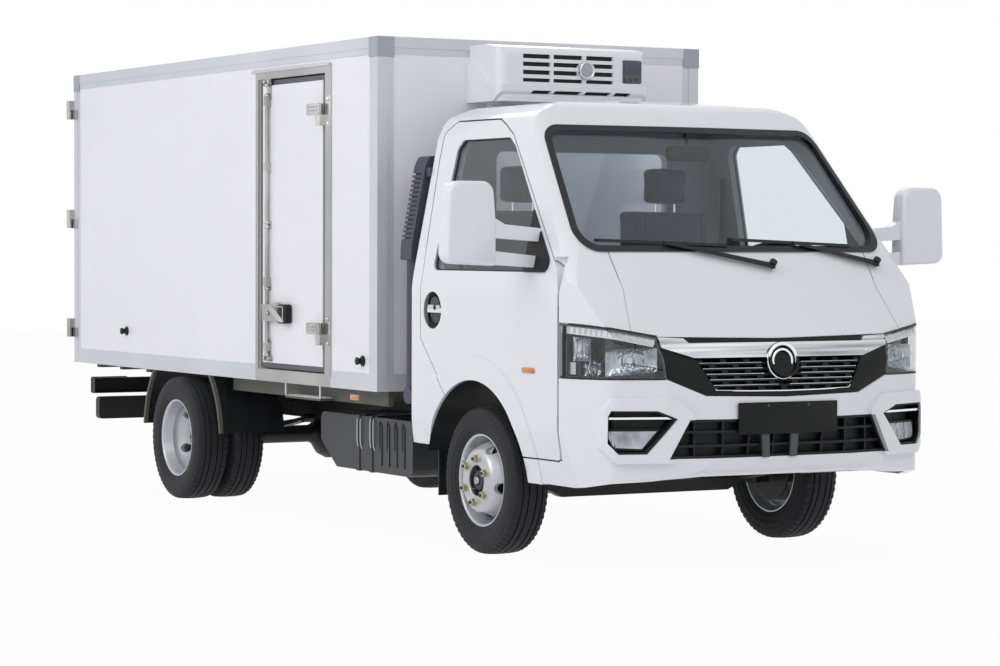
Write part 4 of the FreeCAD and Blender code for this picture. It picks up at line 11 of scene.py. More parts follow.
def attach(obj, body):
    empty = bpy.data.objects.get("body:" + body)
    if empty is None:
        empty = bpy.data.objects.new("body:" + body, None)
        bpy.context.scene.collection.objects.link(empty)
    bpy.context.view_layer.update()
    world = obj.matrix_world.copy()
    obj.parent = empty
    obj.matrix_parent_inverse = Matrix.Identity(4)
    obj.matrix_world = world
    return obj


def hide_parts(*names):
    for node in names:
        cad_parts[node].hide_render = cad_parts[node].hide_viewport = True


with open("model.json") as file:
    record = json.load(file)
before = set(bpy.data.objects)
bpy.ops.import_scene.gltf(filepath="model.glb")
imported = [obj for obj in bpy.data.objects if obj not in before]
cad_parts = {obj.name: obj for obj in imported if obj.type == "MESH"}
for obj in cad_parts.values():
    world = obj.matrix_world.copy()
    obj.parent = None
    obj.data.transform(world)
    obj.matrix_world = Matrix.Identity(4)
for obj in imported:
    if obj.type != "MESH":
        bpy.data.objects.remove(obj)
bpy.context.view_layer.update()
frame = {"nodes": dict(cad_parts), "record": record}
NODES = frame["nodes"]
MM = 0.001
SIDES = ((-1, "right"), (1, "left"))

# Places of the CAD model that details sit on, in millimetres
FRONT_AXLE_Y, REAR_AXLE_Y, AXLE_Z = -1902, 1406, 337
BOX_X = 910
# Lines of sight towards the nose start well ahead of it
AHEAD_Y = -3400
# Broad drifts of tone in every finish: about one for each metre
DRIFT_SCALE = 1.3
# Share of white in what is seen of the floor; the rest keeps the shadow
FLOOR_WHITE = 0.965


# Finishes

def linear(text):
    """Linear colour from an sRGB hex value"""
    parts = [int(text[i:i + 2], 16) / 255 for i in (0, 2, 4)]
    return [c / 12.92 if c <= 0.04045 else ((c + 0.055) / 1.055) ** 2.4 for c in parts] + [1.0]


def add(tree, kind, links=None, **settings):
    """Node with its settings, and its inputs joined to other nodes' outputs"""
    node = tree.nodes.new(kind)
    for key, value in settings.items():
        if hasattr(node, key):
            setattr(node, key, value)
        else:
            node.inputs[key.replace("_", " ")].default_value = value
    for key, output in (links or {}).items():
        tree.links.new(output, node.inputs[key])
    return node


def blank(name):
    """New node material with an empty tree"""
    material = bpy.data.materials.new(name)
    material.use_nodes = True
    material.node_tree.nodes.clear()
    return material, material.node_tree


def finish_of(name, settings, pale, dark, grain_mm, rough=(0.3, 0.4), bump=0.0, stretch=(1, 1, 1),
              cells=False, streaks=(1, 1, 1)):
    """Opaque finish whose colour drifts between two hex values, with grain in roughness and relief"""
    material, tree = blank(name)
    place = add(tree, "ShaderNodeTexCoord")
    spread = add(tree, "ShaderNodeMapping", {"Vector": place.outputs["Object"]})
    spread.inputs["Scale"].default_value = stretch
    scale = 1 / (grain_mm * MM)
    if cells:
        grain = add(tree, "ShaderNodeTexVoronoi", {"Vector": spread.outputs["Vector"]}, Scale=scale)
        grain_out = grain.outputs["Distance"]
    else:
        grain = add(tree, "ShaderNodeTexNoise", {"Vector": spread.outputs["Vector"]},
                    Scale=scale, Detail=4.0)
        grain_out = grain.outputs["Fac"]
    wander = add(tree, "ShaderNodeMapping", {"Vector": place.outputs["Object"]})
    wander.inputs["Scale"].default_value = streaks
    drift = add(tree, "ShaderNodeTexNoise", {"Vector": wander.outputs["Vector"]},
                Scale=DRIFT_SCALE, Detail=3.0)
    tone = add(tree, "ShaderNodeValToRGB", {"Fac": drift.outputs["Fac"]})
    tone.color_ramp.elements[0].position = 0.3
    tone.color_ramp.elements[1].position = 0.7
    tone.color_ramp.elements[0].color = linear(dark)
    tone.color_ramp.elements[1].color = linear(pale)
    matte = add(tree, "ShaderNodeMapRange", {"Value": grain_out}, From_Min=0.3, From_Max=0.7,
                To_Min=rough[0], To_Max=rough[1])
    body = add(tree, "ShaderNodeBsdfPrincipled",
               {"Base Color": tone.outputs["Color"], "Roughness": matte.outputs["Result"]})
    for key, value in settings.items():
        body.inputs[key].default_value = value
    if bump:
        relief = add(tree, "ShaderNodeBump", {"Height": grain_out}, Strength=1.0, Distance=bump * MM)
        tree.links.new(relief.outputs["Normal"], body.inputs["Normal"])
    add(tree, "ShaderNodeOutputMaterial", {"Surface": body.outputs["BSDF"]})
    return material


def pane_of(name, tint, gloss=0.02, rise=4.5, most=0.7):
    """Clear sheet: tinted see-through shader under a thin skin that reflects more at glancing angles"""
    material, tree = blank(name)
    clear = add(tree, "ShaderNodeBsdfTransparent", Color=linear(tint))
    shine = add(tree, "ShaderNodeBsdfGlossy", Roughness=gloss)
    slant = add(tree, "ShaderNodeLayerWeight", Blend=0.5)
    curve = add(tree, "ShaderNodeMath", {0: slant.outputs["Facing"]}, operation="POWER")
    curve.inputs[1].default_value = rise
    skin = add(tree, "ShaderNodeMapRange", {"Value": curve.outputs[0]}, To_Min=0.035, To_Max=most)
    mix = add(tree, "ShaderNodeMixShader", {"Fac": skin.outputs["Result"]})
    tree.links.new(clear.outputs["BSDF"], mix.inputs[1])
    tree.links.new(shine.outputs["BSDF"], mix.inputs[2])
    add(tree, "ShaderNodeOutputMaterial", {"Surface": mix.outputs["Shader"]})
    return material


# Stoved enamel on pressed steel: even white under a clear, sharp gloss
ENAMEL = finish_of("stoved white enamel", {"Coat Weight": 0.6, "Coat Roughness": 0.05},
                   "EEEEF2", "E9E9EE", 60, (0.3, 0.36))
# Gel coat over glass fibre: white with a softer, slightly wavy gloss
GELCOAT = finish_of("gel coated glass fibre", {"Coat Weight": 0.25, "Coat Roughness": 0.15},
                    "F5F4F7", "F1F0F4", 40, (0.34, 0.44), 0.015)
# Anodised aluminium extrusion: pale grey metal with fine lines along the rail
ANODISED = finish_of("anodised aluminium extrusion", {"Metallic": 0.2},
                     "DCDEE3", "CFD1D7", 3, (0.42, 0.55), 0.008, (1, 0.05, 1))
# Brushed stainless steel sheet: warm grey metal whose lines run upwards
STAINLESS = finish_of("brushed stainless steel", {"Metallic": 0.85},
                      "C0BFBE", "A1A1A1", 2.5, (0.25, 0.42), 0.008, (1, 1, 0.05))
# Polished investment cast stainless: bright, with soft dents of the mould
CAST_STAINLESS = finish_of("cast stainless steel", {"Metallic": 1.0},
                           "E0DFDD", "8F8E8C", 14, (0.12, 0.3), 0.08)
# Chromium plate on ABS: mirror bright
CHROME = finish_of("bright chromium plate", {"Metallic": 1.0}, "F2F3F5", "E6E8EB", 30, (0.04, 0.09))
# Chromium plate of the grille's bar, with a painted reflection of the sky and the ground along it in streaks
BAR_CHROME = finish_of("chromium plate with painted reflection streaks", {"Metallic": 1.0},
                       "F4F5F7", "8E939B", 30, (0.08, 0.16), 0.02, streaks=(0.8, 0.8, 34))
# Satin chromium plate: silver that blurs what it reflects
SATIN_CHROME = finish_of("satin chromium plate", {"Metallic": 1.0},
                         "D5D7DB", "C3C6CB", 1.5, (0.24, 0.34), 0.01)
# Silver wheel lacquer: fine metal flake under a thin clear coat
SILVER_LACQUER = finish_of("silver wheel lacquer",
                           {"Metallic": 0.55, "Coat Weight": 0.35, "Coat Roughness": 0.12},
                           "C9CACF", "BBBCC2", 1.2, (0.3, 0.42), 0.01)
# Yellow passivated zinc on the wheel nuts
ZINC = finish_of("yellow passivated zinc", {"Metallic": 0.9}, "CFCBB6", "A6A28C", 4, (0.28, 0.42), 0.05)
# Vulcanised tyre rubber: dark grey, with a faint powdery bloom
TYRE_RUBBER = finish_of("vulcanised tyre rubber", {"Specular IOR Level": 0.3, "Sheen Weight": 0.04},
                        "2B2B2E", "212124", 6, (0.62, 0.78), 0.12)
# Extruded sealing rubber: smooth, a little greasy
SEAL_RUBBER = finish_of("extruded sealing rubber", {"Specular IOR Level": 0.35},
                        "1F2024", "191A1D", 2, (0.42, 0.55), 0.02)
# Softer grey gasket between the side door and its frame
GASKET = finish_of("grey door gasket", {"Specular IOR Level": 0.35},
                   "66676C", "57585D", 2, (0.45, 0.58), 0.02)
# Black chassis paint over rolled steel, dusted in places
CHASSIS_PAINT = finish_of("black chassis paint", {"Specular IOR Level": 0.35},
                          "222224", "141416", 12, (0.34, 0.6), 0.1)
# Olive grey primer on folded sheet
OLIVE_PRIMER = finish_of("olive grey primer", {}, "5D5D53", "4C4C44", 14, (0.5, 0.68), 0.06)
# Sand cast iron: grey and grainy
CAST_IRON = finish_of("sand cast iron", {"Metallic": 0.35}, "56565A", "39393C", 3, (0.45, 0.7), 0.3)
# Hot dip galvanised steel: mottled pale grey
GALVANISED = finish_of("hot dip galvanised steel", {"Metallic": 0.5},
                       "E2E3E5", "C2C4C7", 12, (0.3, 0.5), 0.05, cells=True)
# Gloss black moulding: deep black with a clear surface
PIANO_BLACK = finish_of("gloss black moulding",
                        {"Specular IOR Level": 0.16, "Coat Weight": 0.14, "Coat Roughness": 0.04},
                        "0D0E11", "08090B", 20, (0.18, 0.26))
# Grained black moulding for outer trim
BLACK_MOULDING = finish_of("grained black moulding", {"Specular IOR Level": 0.3},
                           "191A1D", "121316", 1.6, (0.45, 0.6), 0.06)
# Grained grey blue moulding inside the cab
CAB_MOULDING = finish_of("grained cab moulding", {}, "545B67", "474D59", 1.6, (0.5, 0.62), 0.05)
# Light grey pressed headlining and pillar trim
HEADLINING = finish_of("pressed headlining felt", {"Sheen Weight": 0.2},
                       "A5AAB0", "989DA4", 2, (0.8, 0.95), 0.1)
# Woven seat cloth in slate blue, with its yarns drawn at twice their real size so that they show
SEAT_CLOTH = finish_of("woven seat cloth", {"Sheen Weight": 0.35, "Sheen Roughness": 0.5},
                       "4D5464", "3F4554", 3, (0.82, 0.96), 0.35, cells=True)
# Polyester belt webbing
WEBBING = finish_of("polyester webbing", {}, "2E3036", "24262B", 1.5, (0.7, 0.85), 0.2, (6, 6, 0.5))
# Grey moulded caps of the box corners
GREY_MOULDING = finish_of("grey moulded nylon", {}, "B0B4BB", "A5A9B1", 2, (0.42, 0.55), 0.04)
# White polycarbonate light guide inside the lamp
LIGHT_GUIDE = finish_of("frosted light guide", {"Coat Weight": 0.5}, "FFFFFF", "F1F4F8", 9, (0.12, 0.3), 0.8,
                        cells=True)
# Faceted reflector seen through a fog lamp's glass, its colour drifting between bright and dark as a painted
# reflection
FOG_FACETS = finish_of("faceted fog reflector", {"Metallic": 0.9, "Coat Weight": 1.0},
                       "B9BDC4", "6B7078", 13, (0.06, 0.3), 5.0, (1, 1, 0.25), cells=True,
                       streaks=(9, 9, 9))
# Aluminised headlamp reflector: facets in relief that tip different ways, under a colour that drifts between
# bright and dark as a painted reflection
REFLECTOR = finish_of("aluminised reflector", {"Metallic": 1.0},
                      "C9CDD4", "7F858E", 17, (0.05, 0.2), 5.0, (1, 1, 0.5), cells=True,
                      streaks=(9, 9, 9))
# Smoked grey moulding of the lamp's inner housing
LAMP_MOULDING = finish_of("smoked lamp moulding", {"Metallic": 0.2, "Coat Weight": 0.4},
                          "34363C", "222429", 10, (0.2, 0.34), 0.05)
# Moulded acrylic lenses: deep colour under a clear skin, with prisms that glitter
AMBER_ACRYLIC = finish_of("amber acrylic lens", {"Coat Weight": 0.9, "Subsurface Weight": 0.1},
                          "D98A4A", "C26E30", 4, (0.14, 0.26), 0.4, cells=True)
RED_ACRYLIC = finish_of("red acrylic lens", {"Coat Weight": 0.9},
                        "A3242A", "861A20", 4, (0.14, 0.26), 0.4, cells=True)
CLEAR_ACRYLIC = finish_of("clear acrylic lens", {"Metallic": 0.3, "Coat Weight": 0.9},
                          "D7DADF", "BFC3C9", 4, (0.14, 0.26), 0.4, cells=True)
# Silvered mirror glass: reflects all but a trace of green
MIRROR_GLASS = finish_of("silvered mirror glass", {"Metallic": 1.0}, "E4E8EA", "DCE0E3", 90, (0.015, 0.03))
# Dark display behind glass: near black under a sharp gloss
DISPLAY = finish_of("dark display glass", {"Coat Weight": 1.0}, "32353C", "292C33", 30, (0.2, 0.3))
# Laminated screen glass: clear with a faint blue cast, and mirror-like at low angles
SCREEN = pane_of("laminated screen glass", "F6F9FB")
# Toughened side glass: a little clearer than the screen
SIDE_GLASS = pane_of("toughened side glass", "FAFCFC")
# Hard coated polycarbonate over the headlamps: colourless
LENS = pane_of("clear polycarbonate lens", "FBFCFC")
# Grey blown polyethylene of the air duct
DUCT = finish_of("grey blown polyethylene", {"Specular IOR Level": 0.4},
                 "474955", "3C3E48", 5, (0.42, 0.58), 0.04)
# Black rotationally moulded tank plastic
TANK_PLASTIC = finish_of("black moulded polyethylene", {}, "303135", "222327", 8, (0.3, 0.45), 0.06)
# Dark grey structural plastic of the plate legs
LEG_PLASTIC = finish_of("dark grey glass filled nylon", {}, "505155", "434448", 2, (0.5, 0.6), 0.04)

FINISHES = {
    "cab_white": ENAMEL, "panel_white": GELCOAT, "rail_aluminium": ANODISED, "stainless": STAINLESS,
    "wheel_steel": SILVER_LACQUER, "tyre_rubber": TYRE_RUBBER, "black_rubber": SEAL_RUBBER,
    "chassis_black": CHASSIS_PAINT, "subframe_olive": OLIVE_PRIMER, "engine_iron": CAST_IRON,
    "gloss_black": PIANO_BLACK, "inner_plastic": BLACK_MOULDING, "seat_fabric": SEAT_CLOTH,
    "clear_glass": SCREEN, "lamp_glass": LENS,
}
SLOTS = {part["node"]: part["material_slot"] for part in frame["record"]["subparts"]}
BODY_OF = {node: body for body, nodes in frame["record"]["behaviour"]["bodies"].items() for node in nodes}
for node, thing in NODES.items():
    thing.data.materials.clear()
    thing.data.materials.append(FINISHES[SLOTS[node]])
# Nodes whose finish differs from that of their slot
for node, finish in {"side_door_hardware": CAST_STAINLESS, "hinge_seats": CAST_STAINLESS,
                     "rear_door_hardware_left": CAST_STAINLESS, "rear_door_hardware_right": CAST_STAINLESS,
                     "refrigeration_unit": ENAMEL, "cab_floor": CAB_MOULDING, "dashboard": CAB_MOULDING,
                     "air_intake": DUCT, "fuel_tank": TANK_PLASTIC, "side_door_seal": GASKET,
                     "cab_door_glass_left": SIDE_GLASS, "cab_door_glass_right": SIDE_GLASS}.items():
    NODES[node].data.materials[0] = finish


# Shapes: each is a list of points and a list of faces, in millimetres

def slab(x, y, z):
    """Block between two values along X, Y and Z"""
    (x0, x1), (y0, y1), (z0, z1) = sorted(x), sorted(y), sorted(z)
    points = [(a, b, c) for c in (z0, z1) for b in (y0, y1) for a in (x0, x1)]
    return points, [(0, 2, 3, 1), (4, 5, 7, 6), (0, 1, 5, 4), (2, 6, 7, 3), (0, 4, 6, 2), (1, 3, 7, 5)]


def prism(outline, axis, start, end):
    """Closed outline carried along an axis, its points given in the other two directions"""
    count = len(outline)
    points = []
    for place in (start, end):
        for a, b in outline:
            points.append({"x": (place, a, b), "y": (a, place, b), "z": (a, b, place)}[axis])
    sides = [(i, (i + 1) % count, count + (i + 1) % count, count + i) for i in range(count)]
    return points, [tuple(range(count))[::-1], tuple(range(count, 2 * count))] + sides


def rounded(low, high, radius, steps=5):
    """Outline of a rectangle with round corners, between two corners"""
    (a0, b0), (a1, b1) = low, high
    outline = []
    for a, b, turn in ((a1 - radius, b0 + radius, -90), (a1 - radius, b1 - radius, 0),
                       (a0 + radius, b1 - radius, 90), (a0 + radius, b0 + radius, 180)):
        for i in range(steps + 1):
            angle = math.radians(turn + 90 * i / steps)
            outline.append((a + radius * math.cos(angle), b + radius * math.sin(angle)))
    return outline


def turned(profile, centre, way, steps=48, closed=True, notch=None):
    """Shape turned about an axis from points of (distance along it, radius), notched where told"""
    way = Vector(way).normalized()
    side = way.orthogonal().normalized()
    third = way.cross(side)
    points, faces = [], []
    count = len(profile)
    for s in range(steps):
        angle = 2 * math.pi * s / steps
        out = side * math.cos(angle) + third * math.sin(angle)
        for i, (along, radius) in enumerate(profile):
            cut = notch[1] if notch and s % 4 > 1 and i in notch[0] else 0
            points.append(Vector(centre) + way * along + out * (radius - cut))
        ahead = (s + 1) % steps * count
        for i in range(count if closed else count - 1):
            j = (i + 1) % count
            faces.append((s * count + i, s * count + j, ahead + j, ahead + i))
    return points, faces


def hose(route, radius, sides=10, closed=False):
    """Round bar that follows a route of points"""
    route = [Vector(p) for p in route]
    count = len(route)
    points, faces = [], []
    side = None
    for i, place in enumerate(route):
        before = route[i - 1] if i or closed else place
        after = route[(i + 1) % count] if i < count - 1 or closed else place
        way = (after - before).normalized()
        side = way.orthogonal().normalized() if side is None else (side - way * side.dot(way)).normalized()
        third = way.cross(side)
        for k in range(sides):
            angle = 2 * math.pi * k / sides
            points.append(place + (side * math.cos(angle) + third * math.sin(angle)) * radius)
    for i in range(count if closed else count - 1):
        j = (i + 1) % count
        for k in range(sides):
            n = (k + 1) % sides
            faces.append((i * sides + k, i * sides + n, j * sides + n, j * sides + k))
    if not closed:
        faces += [tuple(range(sides))[::-1], tuple(range((count - 1) * sides, count * sides))]
    return points, faces


def bent(corners, radius, steps=6, closed=False):
    """Route through corners that are rounded by short curves"""
    corners = [Vector(c) for c in corners]
    count = len(corners)
    route = []
    for i, corner in enumerate(corners):
        if not closed and i in (0, count - 1):
            route.append(corner)
            continue
        to_last, to_next = corners[i - 1] - corner, corners[(i + 1) % count] - corner
        reach = min(radius, to_last.length * 0.45, to_next.length * 0.45)
        a, b = corner + to_last.normalized() * reach, corner + to_next.normalized() * reach
        for k in range(steps + 1):
            t = k / steps
            route.append(a * (1 - t) ** 2 + corner * 2 * t * (1 - t) + b * t ** 2)
    return route


def hexagon(centre, way, radius, height):
    """Hexagonal head with chamfered rims"""
    profile = [(0, 0), (0, radius), (height * 0.85, radius), (height, radius * 0.92), (height, 0)]
    return turned(profile, centre, way, 6, False)


def surface(rows):
    """Open sheet through rows of points"""
    wide = len(rows[0])
    points = [p for row in rows for p in row]
    faces = [(r * wide + c, r * wide + c + 1, (r + 1) * wide + c + 1, (r + 1) * wide + c)
             for r in range(len(rows) - 1) for c in range(wide - 1)]
    return points, faces


def build(name, body, slot, finish, shapes, hides=(), edge=0.0, crease=32):
    """Object of a finish made from shapes, its sharp edges slightly rounded, riding on a body"""
    bm = bmesh.new()
    for points, faces in shapes:
        made = [bm.verts.new(Vector(p) * MM) for p in points]
        for face in faces:
            if len({tuple(round(c, 7) for c in made[i].co) for i in face}) > 2:
                bm.faces.new([made[i] for i in face])
    bmesh.ops.remove_doubles(bm, verts=bm.verts, dist=0.00002)
    bmesh.ops.dissolve_degenerate(bm, edges=bm.edges, dist=0.00001)
    bmesh.ops.recalc_face_normals(bm, faces=bm.faces)
    limit = math.radians(crease)
    if edge:
        sharp = [e for e in bm.edges if len(e.link_faces) == 2 and e.calc_face_angle() > limit]
        bmesh.ops.bevel(bm, geom=sharp, offset=edge * MM, offset_type="OFFSET", segments=2, profile=0.5,
                        affect="EDGES", clamp_overlap=True)
    return finished(bm, name, body, slot, finish, hides, limit)


def finished(bm, name, body, slot, finish, hides=(), limit=math.radians(32)):
    """Object from a mesh in metres, smooth where its faces meet at less than a limit"""
    for edge in bm.edges:
        edge.smooth = len(edge.link_faces) == 2 and edge.calc_face_angle() < limit
    for face in bm.faces:
        face.smooth = True
    mesh = bpy.data.meshes.new(name)
    bm.to_mesh(mesh)
    bm.free()
    thing = bpy.data.objects.new(name, mesh)
    bpy.context.scene.collection.objects.link(thing)
    mesh.materials.append(finish)
    if hides:
        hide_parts(*hides)
    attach(thing, body)
    return thing


def shells(node):
    """Merged mesh of a CAD node, and its loose parts as face numbers with their boxes"""
    bm = bmesh.new()
    bm.from_mesh(NODES[node].data)
    bmesh.ops.remove_doubles(bm, verts=bm.verts, dist=0.000001)
    bm.faces.ensure_lookup_table()
    left, parts = set(range(len(bm.faces))), []
    while left:
        heap, found = [left.pop()], []
        while heap:
            face = bm.faces[heap.pop()]
            found.append(face.index)
            for edge in face.edges:
                for other in edge.link_faces:
                    if other.index in left:
                        left.remove(other.index)
                        heap.append(other.index)
        corners = [v.co / MM for i in found for v in bm.faces[i].verts]
        low = Vector([min(c[k] for c in corners) for k in range(3)])
        high = Vector([max(c[k] for c in corners) for k in range(3)])
        parts.append((found, low, high))
    return bm, parts


def regroup(node, choices):
    """New objects from a node's loose parts: the first choice whose test fits takes the part"""
    source, parts = shells(node)
    taken = {}
    for found, low, high in parts:
        for name, slot, finish, test in choices:
            if test(low, high):
                taken.setdefault(name, (slot, finish, set()))[2].update(found)
                break
    for name, (slot, finish, numbers) in taken.items():
        bm = source.copy()
        bm.faces.ensure_lookup_table()
        spare = [face for face in bm.faces if face.index not in numbers]
        bmesh.ops.delete(bm, geom=spare, context="FACES")
        finished(bm, name, BODY_OF[node], slot, finish, [node], math.radians(28))
    source.free()


TREES = {}


def meet(node, start, way):
    """Point and normal where a line first meets a CAD node, in millimetres, or None"""
    if node not in TREES:
        thing = NODES[node]
        thing.data.calc_loop_triangles()
        points = [v.co.copy() for v in thing.data.vertices]
        TREES[node] = BVHTree.FromPolygons(points, [tuple(t.vertices) for t in thing.data.loop_triangles])
    place, normal, _, _ = TREES[node].ray_cast(Vector(start) * MM, Vector(way))
    return (place / MM, normal) if place else None


def outline_of(node, facing):
    """Longest closed edge of a node's faces that look one way, as a route in millimetres"""
    bm, _ = shells(node)
    facing = Vector(facing)
    chosen = {f for f in bm.faces if f.normal.dot(facing) > 0.5}
    rim = [e for e in bm.edges if sum(f in chosen for f in e.link_faces) == 1]
    ahead = {}
    for edge in rim:
        for a, b in (edge.verts, reversed(edge.verts)):
            ahead.setdefault(a, []).append(b)
    loops, seen = [], set()
    for start in ahead:
        if start in seen:
            continue
        route, here = [], start
        while here is not None:
            seen.add(here)
            route.append(here.co / MM)
            here = next((v for v in ahead[here] if v not in seen), None)
        loops.append(route)
    bm.free()
    return max(loops, key=len)


# Tyres and wheels

# One half of the section from the crown to the bead, as (distance from the middle, radius)
HALF_SECTION = [
    (0, 337), (16, 336.9), (17, 327.5), (23, 327.5), (24, 336.5), (46, 335.4), (47, 326.5), (53, 326.5),
    (54, 334.8), (70, 333.2), (79, 329.5), (84, 324), (86.5, 316), (88.4, 307), (89.6, 299), (91.2, 297.6),
    (91.4, 291), (90.7, 289.6), (91.6, 281), (92.5, 270), (92.5, 264), (91.8, 262.6), (90.6, 252),
    (88.6, 240), (87.2, 231.5), (85.2, 230), (82.6, 221), (78.2, 210.5), (71.6, 210.5), (71.6, 201),
]
SECTION = [(-a, r) for a, r in reversed(HALF_SECTION[1:])] + HALF_SECTION
# Rings of the section that the tread's notches cut, and how deep
SHOULDER = {i for i, (a, r) in enumerate(SECTION) if 60 < abs(a) and r > 312}
NOTCH_DEPTH, TREAD_STEPS = 5.0, 240
FRONT_WHEEL_X, REAR_WHEEL_X, TWIN_HALF = 790, 757.5, 106.5
NUT_CIRCLE, NUT_START, NUT_COUNT = 100, 23, 6
WASHER = [(0, 0), (0, 21), (3, 21), (4.5, 18), (4.5, 0)]
STUD_END = [(23, 0), (23, 8), (29, 8), (31, 6.5), (31, 0)]
HAND_HOLE_CIRCLE, HAND_HOLE_START, HAND_HOLE_COUNT = 159, -10, 5
# Sections of the rolled rim and the pressed discs, as (distance outwards, radius)
RIM = [
    (78, 209.8), (78.3, 205), (76, 201.5), (69, 198.4), (58, 195), (40, 190), (24, 184.5), (12, 181),
    (-25, 180), (-60, 188), (-72, 198), (-78, 204), (-78, 209.8), (-72, 209.8), (-72, 200.6), (72, 200.6),
    (72, 209.8),
]
FRONT_DISC = [
    (-6, 181), (10, 180), (26, 176), (50, 166), (78, 153), (94, 143), (102, 132), (105, 120), (105, 73),
    (102, 70), (95, 70), (95, 118), (92, 128), (84, 138), (68, 147), (42, 159), (18, 168), (0, 172),
    (-6, 172),
]
REAR_DISC = [
    (128, 181), (112, 180), (96, 176), (76, 163), (48, 150), (24, 140), (12, 130), (9, 120), (9, 70),
    (-1, 70), (-1, 124), (4, 136), (18, 148), (42, 158), (68, 171), (90, 183), (128, 184),
]
# Sections of the hubs, from their hidden end outwards
FRONT_HUB = [(-40, 0), (-40, 69), (0, 69), (2, 66), (4, 50), (22, 44), (26, 40), (26, 24), (20, 22), (20, 0)]
REAR_HUB = [(-60, 0), (-60, 69), (14, 69), (18, 66), (70, 60), (78, 54), (80, 46), (84, 44), (84, 0)]


def spot(x, y, circle, degrees):
    """Place on a circle round a wheel's axis, turned from the front upwards"""
    angle = math.radians(degrees)
    return x, y - circle * math.cos(angle), AXLE_Z + circle * math.sin(angle)


def tyre(centre):
    """Tyre with four grooves, notched shoulders and rings on its side walls"""
    return turned(SECTION, centre, (1, 0, 0), TREAD_STEPS, notch=(SHOULDER, NOTCH_DEPTH))


def nuts_of(x, y, out):
    """Wheel nuts with their washers, and the studs' ends"""
    nuts, studs = [], []
    for i in range(NUT_COUNT):
        place = spot(x, y, NUT_CIRCLE, NUT_START + 60 * i)
        nuts.append(hexagon(place, (out, 0, 0), 17.5, 24))
        nuts.append(turned(WASHER, place, (out, 0, 0), 24, False))
        studs.append(turned(STUD_END, place, (out, 0, 0), 16, False))
    return nuts, studs


def pierced(thing, cutters):
    """Cut holes through an object with solid shapes"""
    tool = build("tool", "chassis", "engine_iron", CAST_IRON, cutters)
    cut = thing.modifiers.new("holes", "BOOLEAN")
    cut.object = tool
    cut.solver = "EXACT"
    bake(thing)
    bpy.data.objects.remove(tool)
    bm = bmesh.new()
    bm.from_mesh(thing.data)
    for edge in bm.edges:
        edge.smooth = len(edge.link_faces) == 2 and edge.calc_face_angle() < math.radians(30)
    bm.to_mesh(thing.data)
    bm.free()


def bake(thing):
    """Apply the modifiers of an object"""
    ready = bpy.context.evaluated_depsgraph_get()
    mesh = bpy.data.meshes.new_from_object(thing.evaluated_get(ready))
    thing.modifiers.clear()
    thing.data = mesh


def hand_holes(x, y, near, far, out):
    """Oval cutters for the hand holes of a disc"""
    cutters = []
    for i in range(HAND_HOLE_COUNT):
        degrees = HAND_HOLE_START + 360 / HAND_HOLE_COUNT * i
        outline = []
        for k in range(28):
            turn = 2 * math.pi * k / 28
            _, py, pz = spot(x, y, HAND_HOLE_CIRCLE + 15 * math.cos(turn), degrees + 9.5 * math.sin(turn))
            outline.append((py, pz))
        cutters.append(prism(outline, "x", x + out * near, x + out * far))
    return cutters


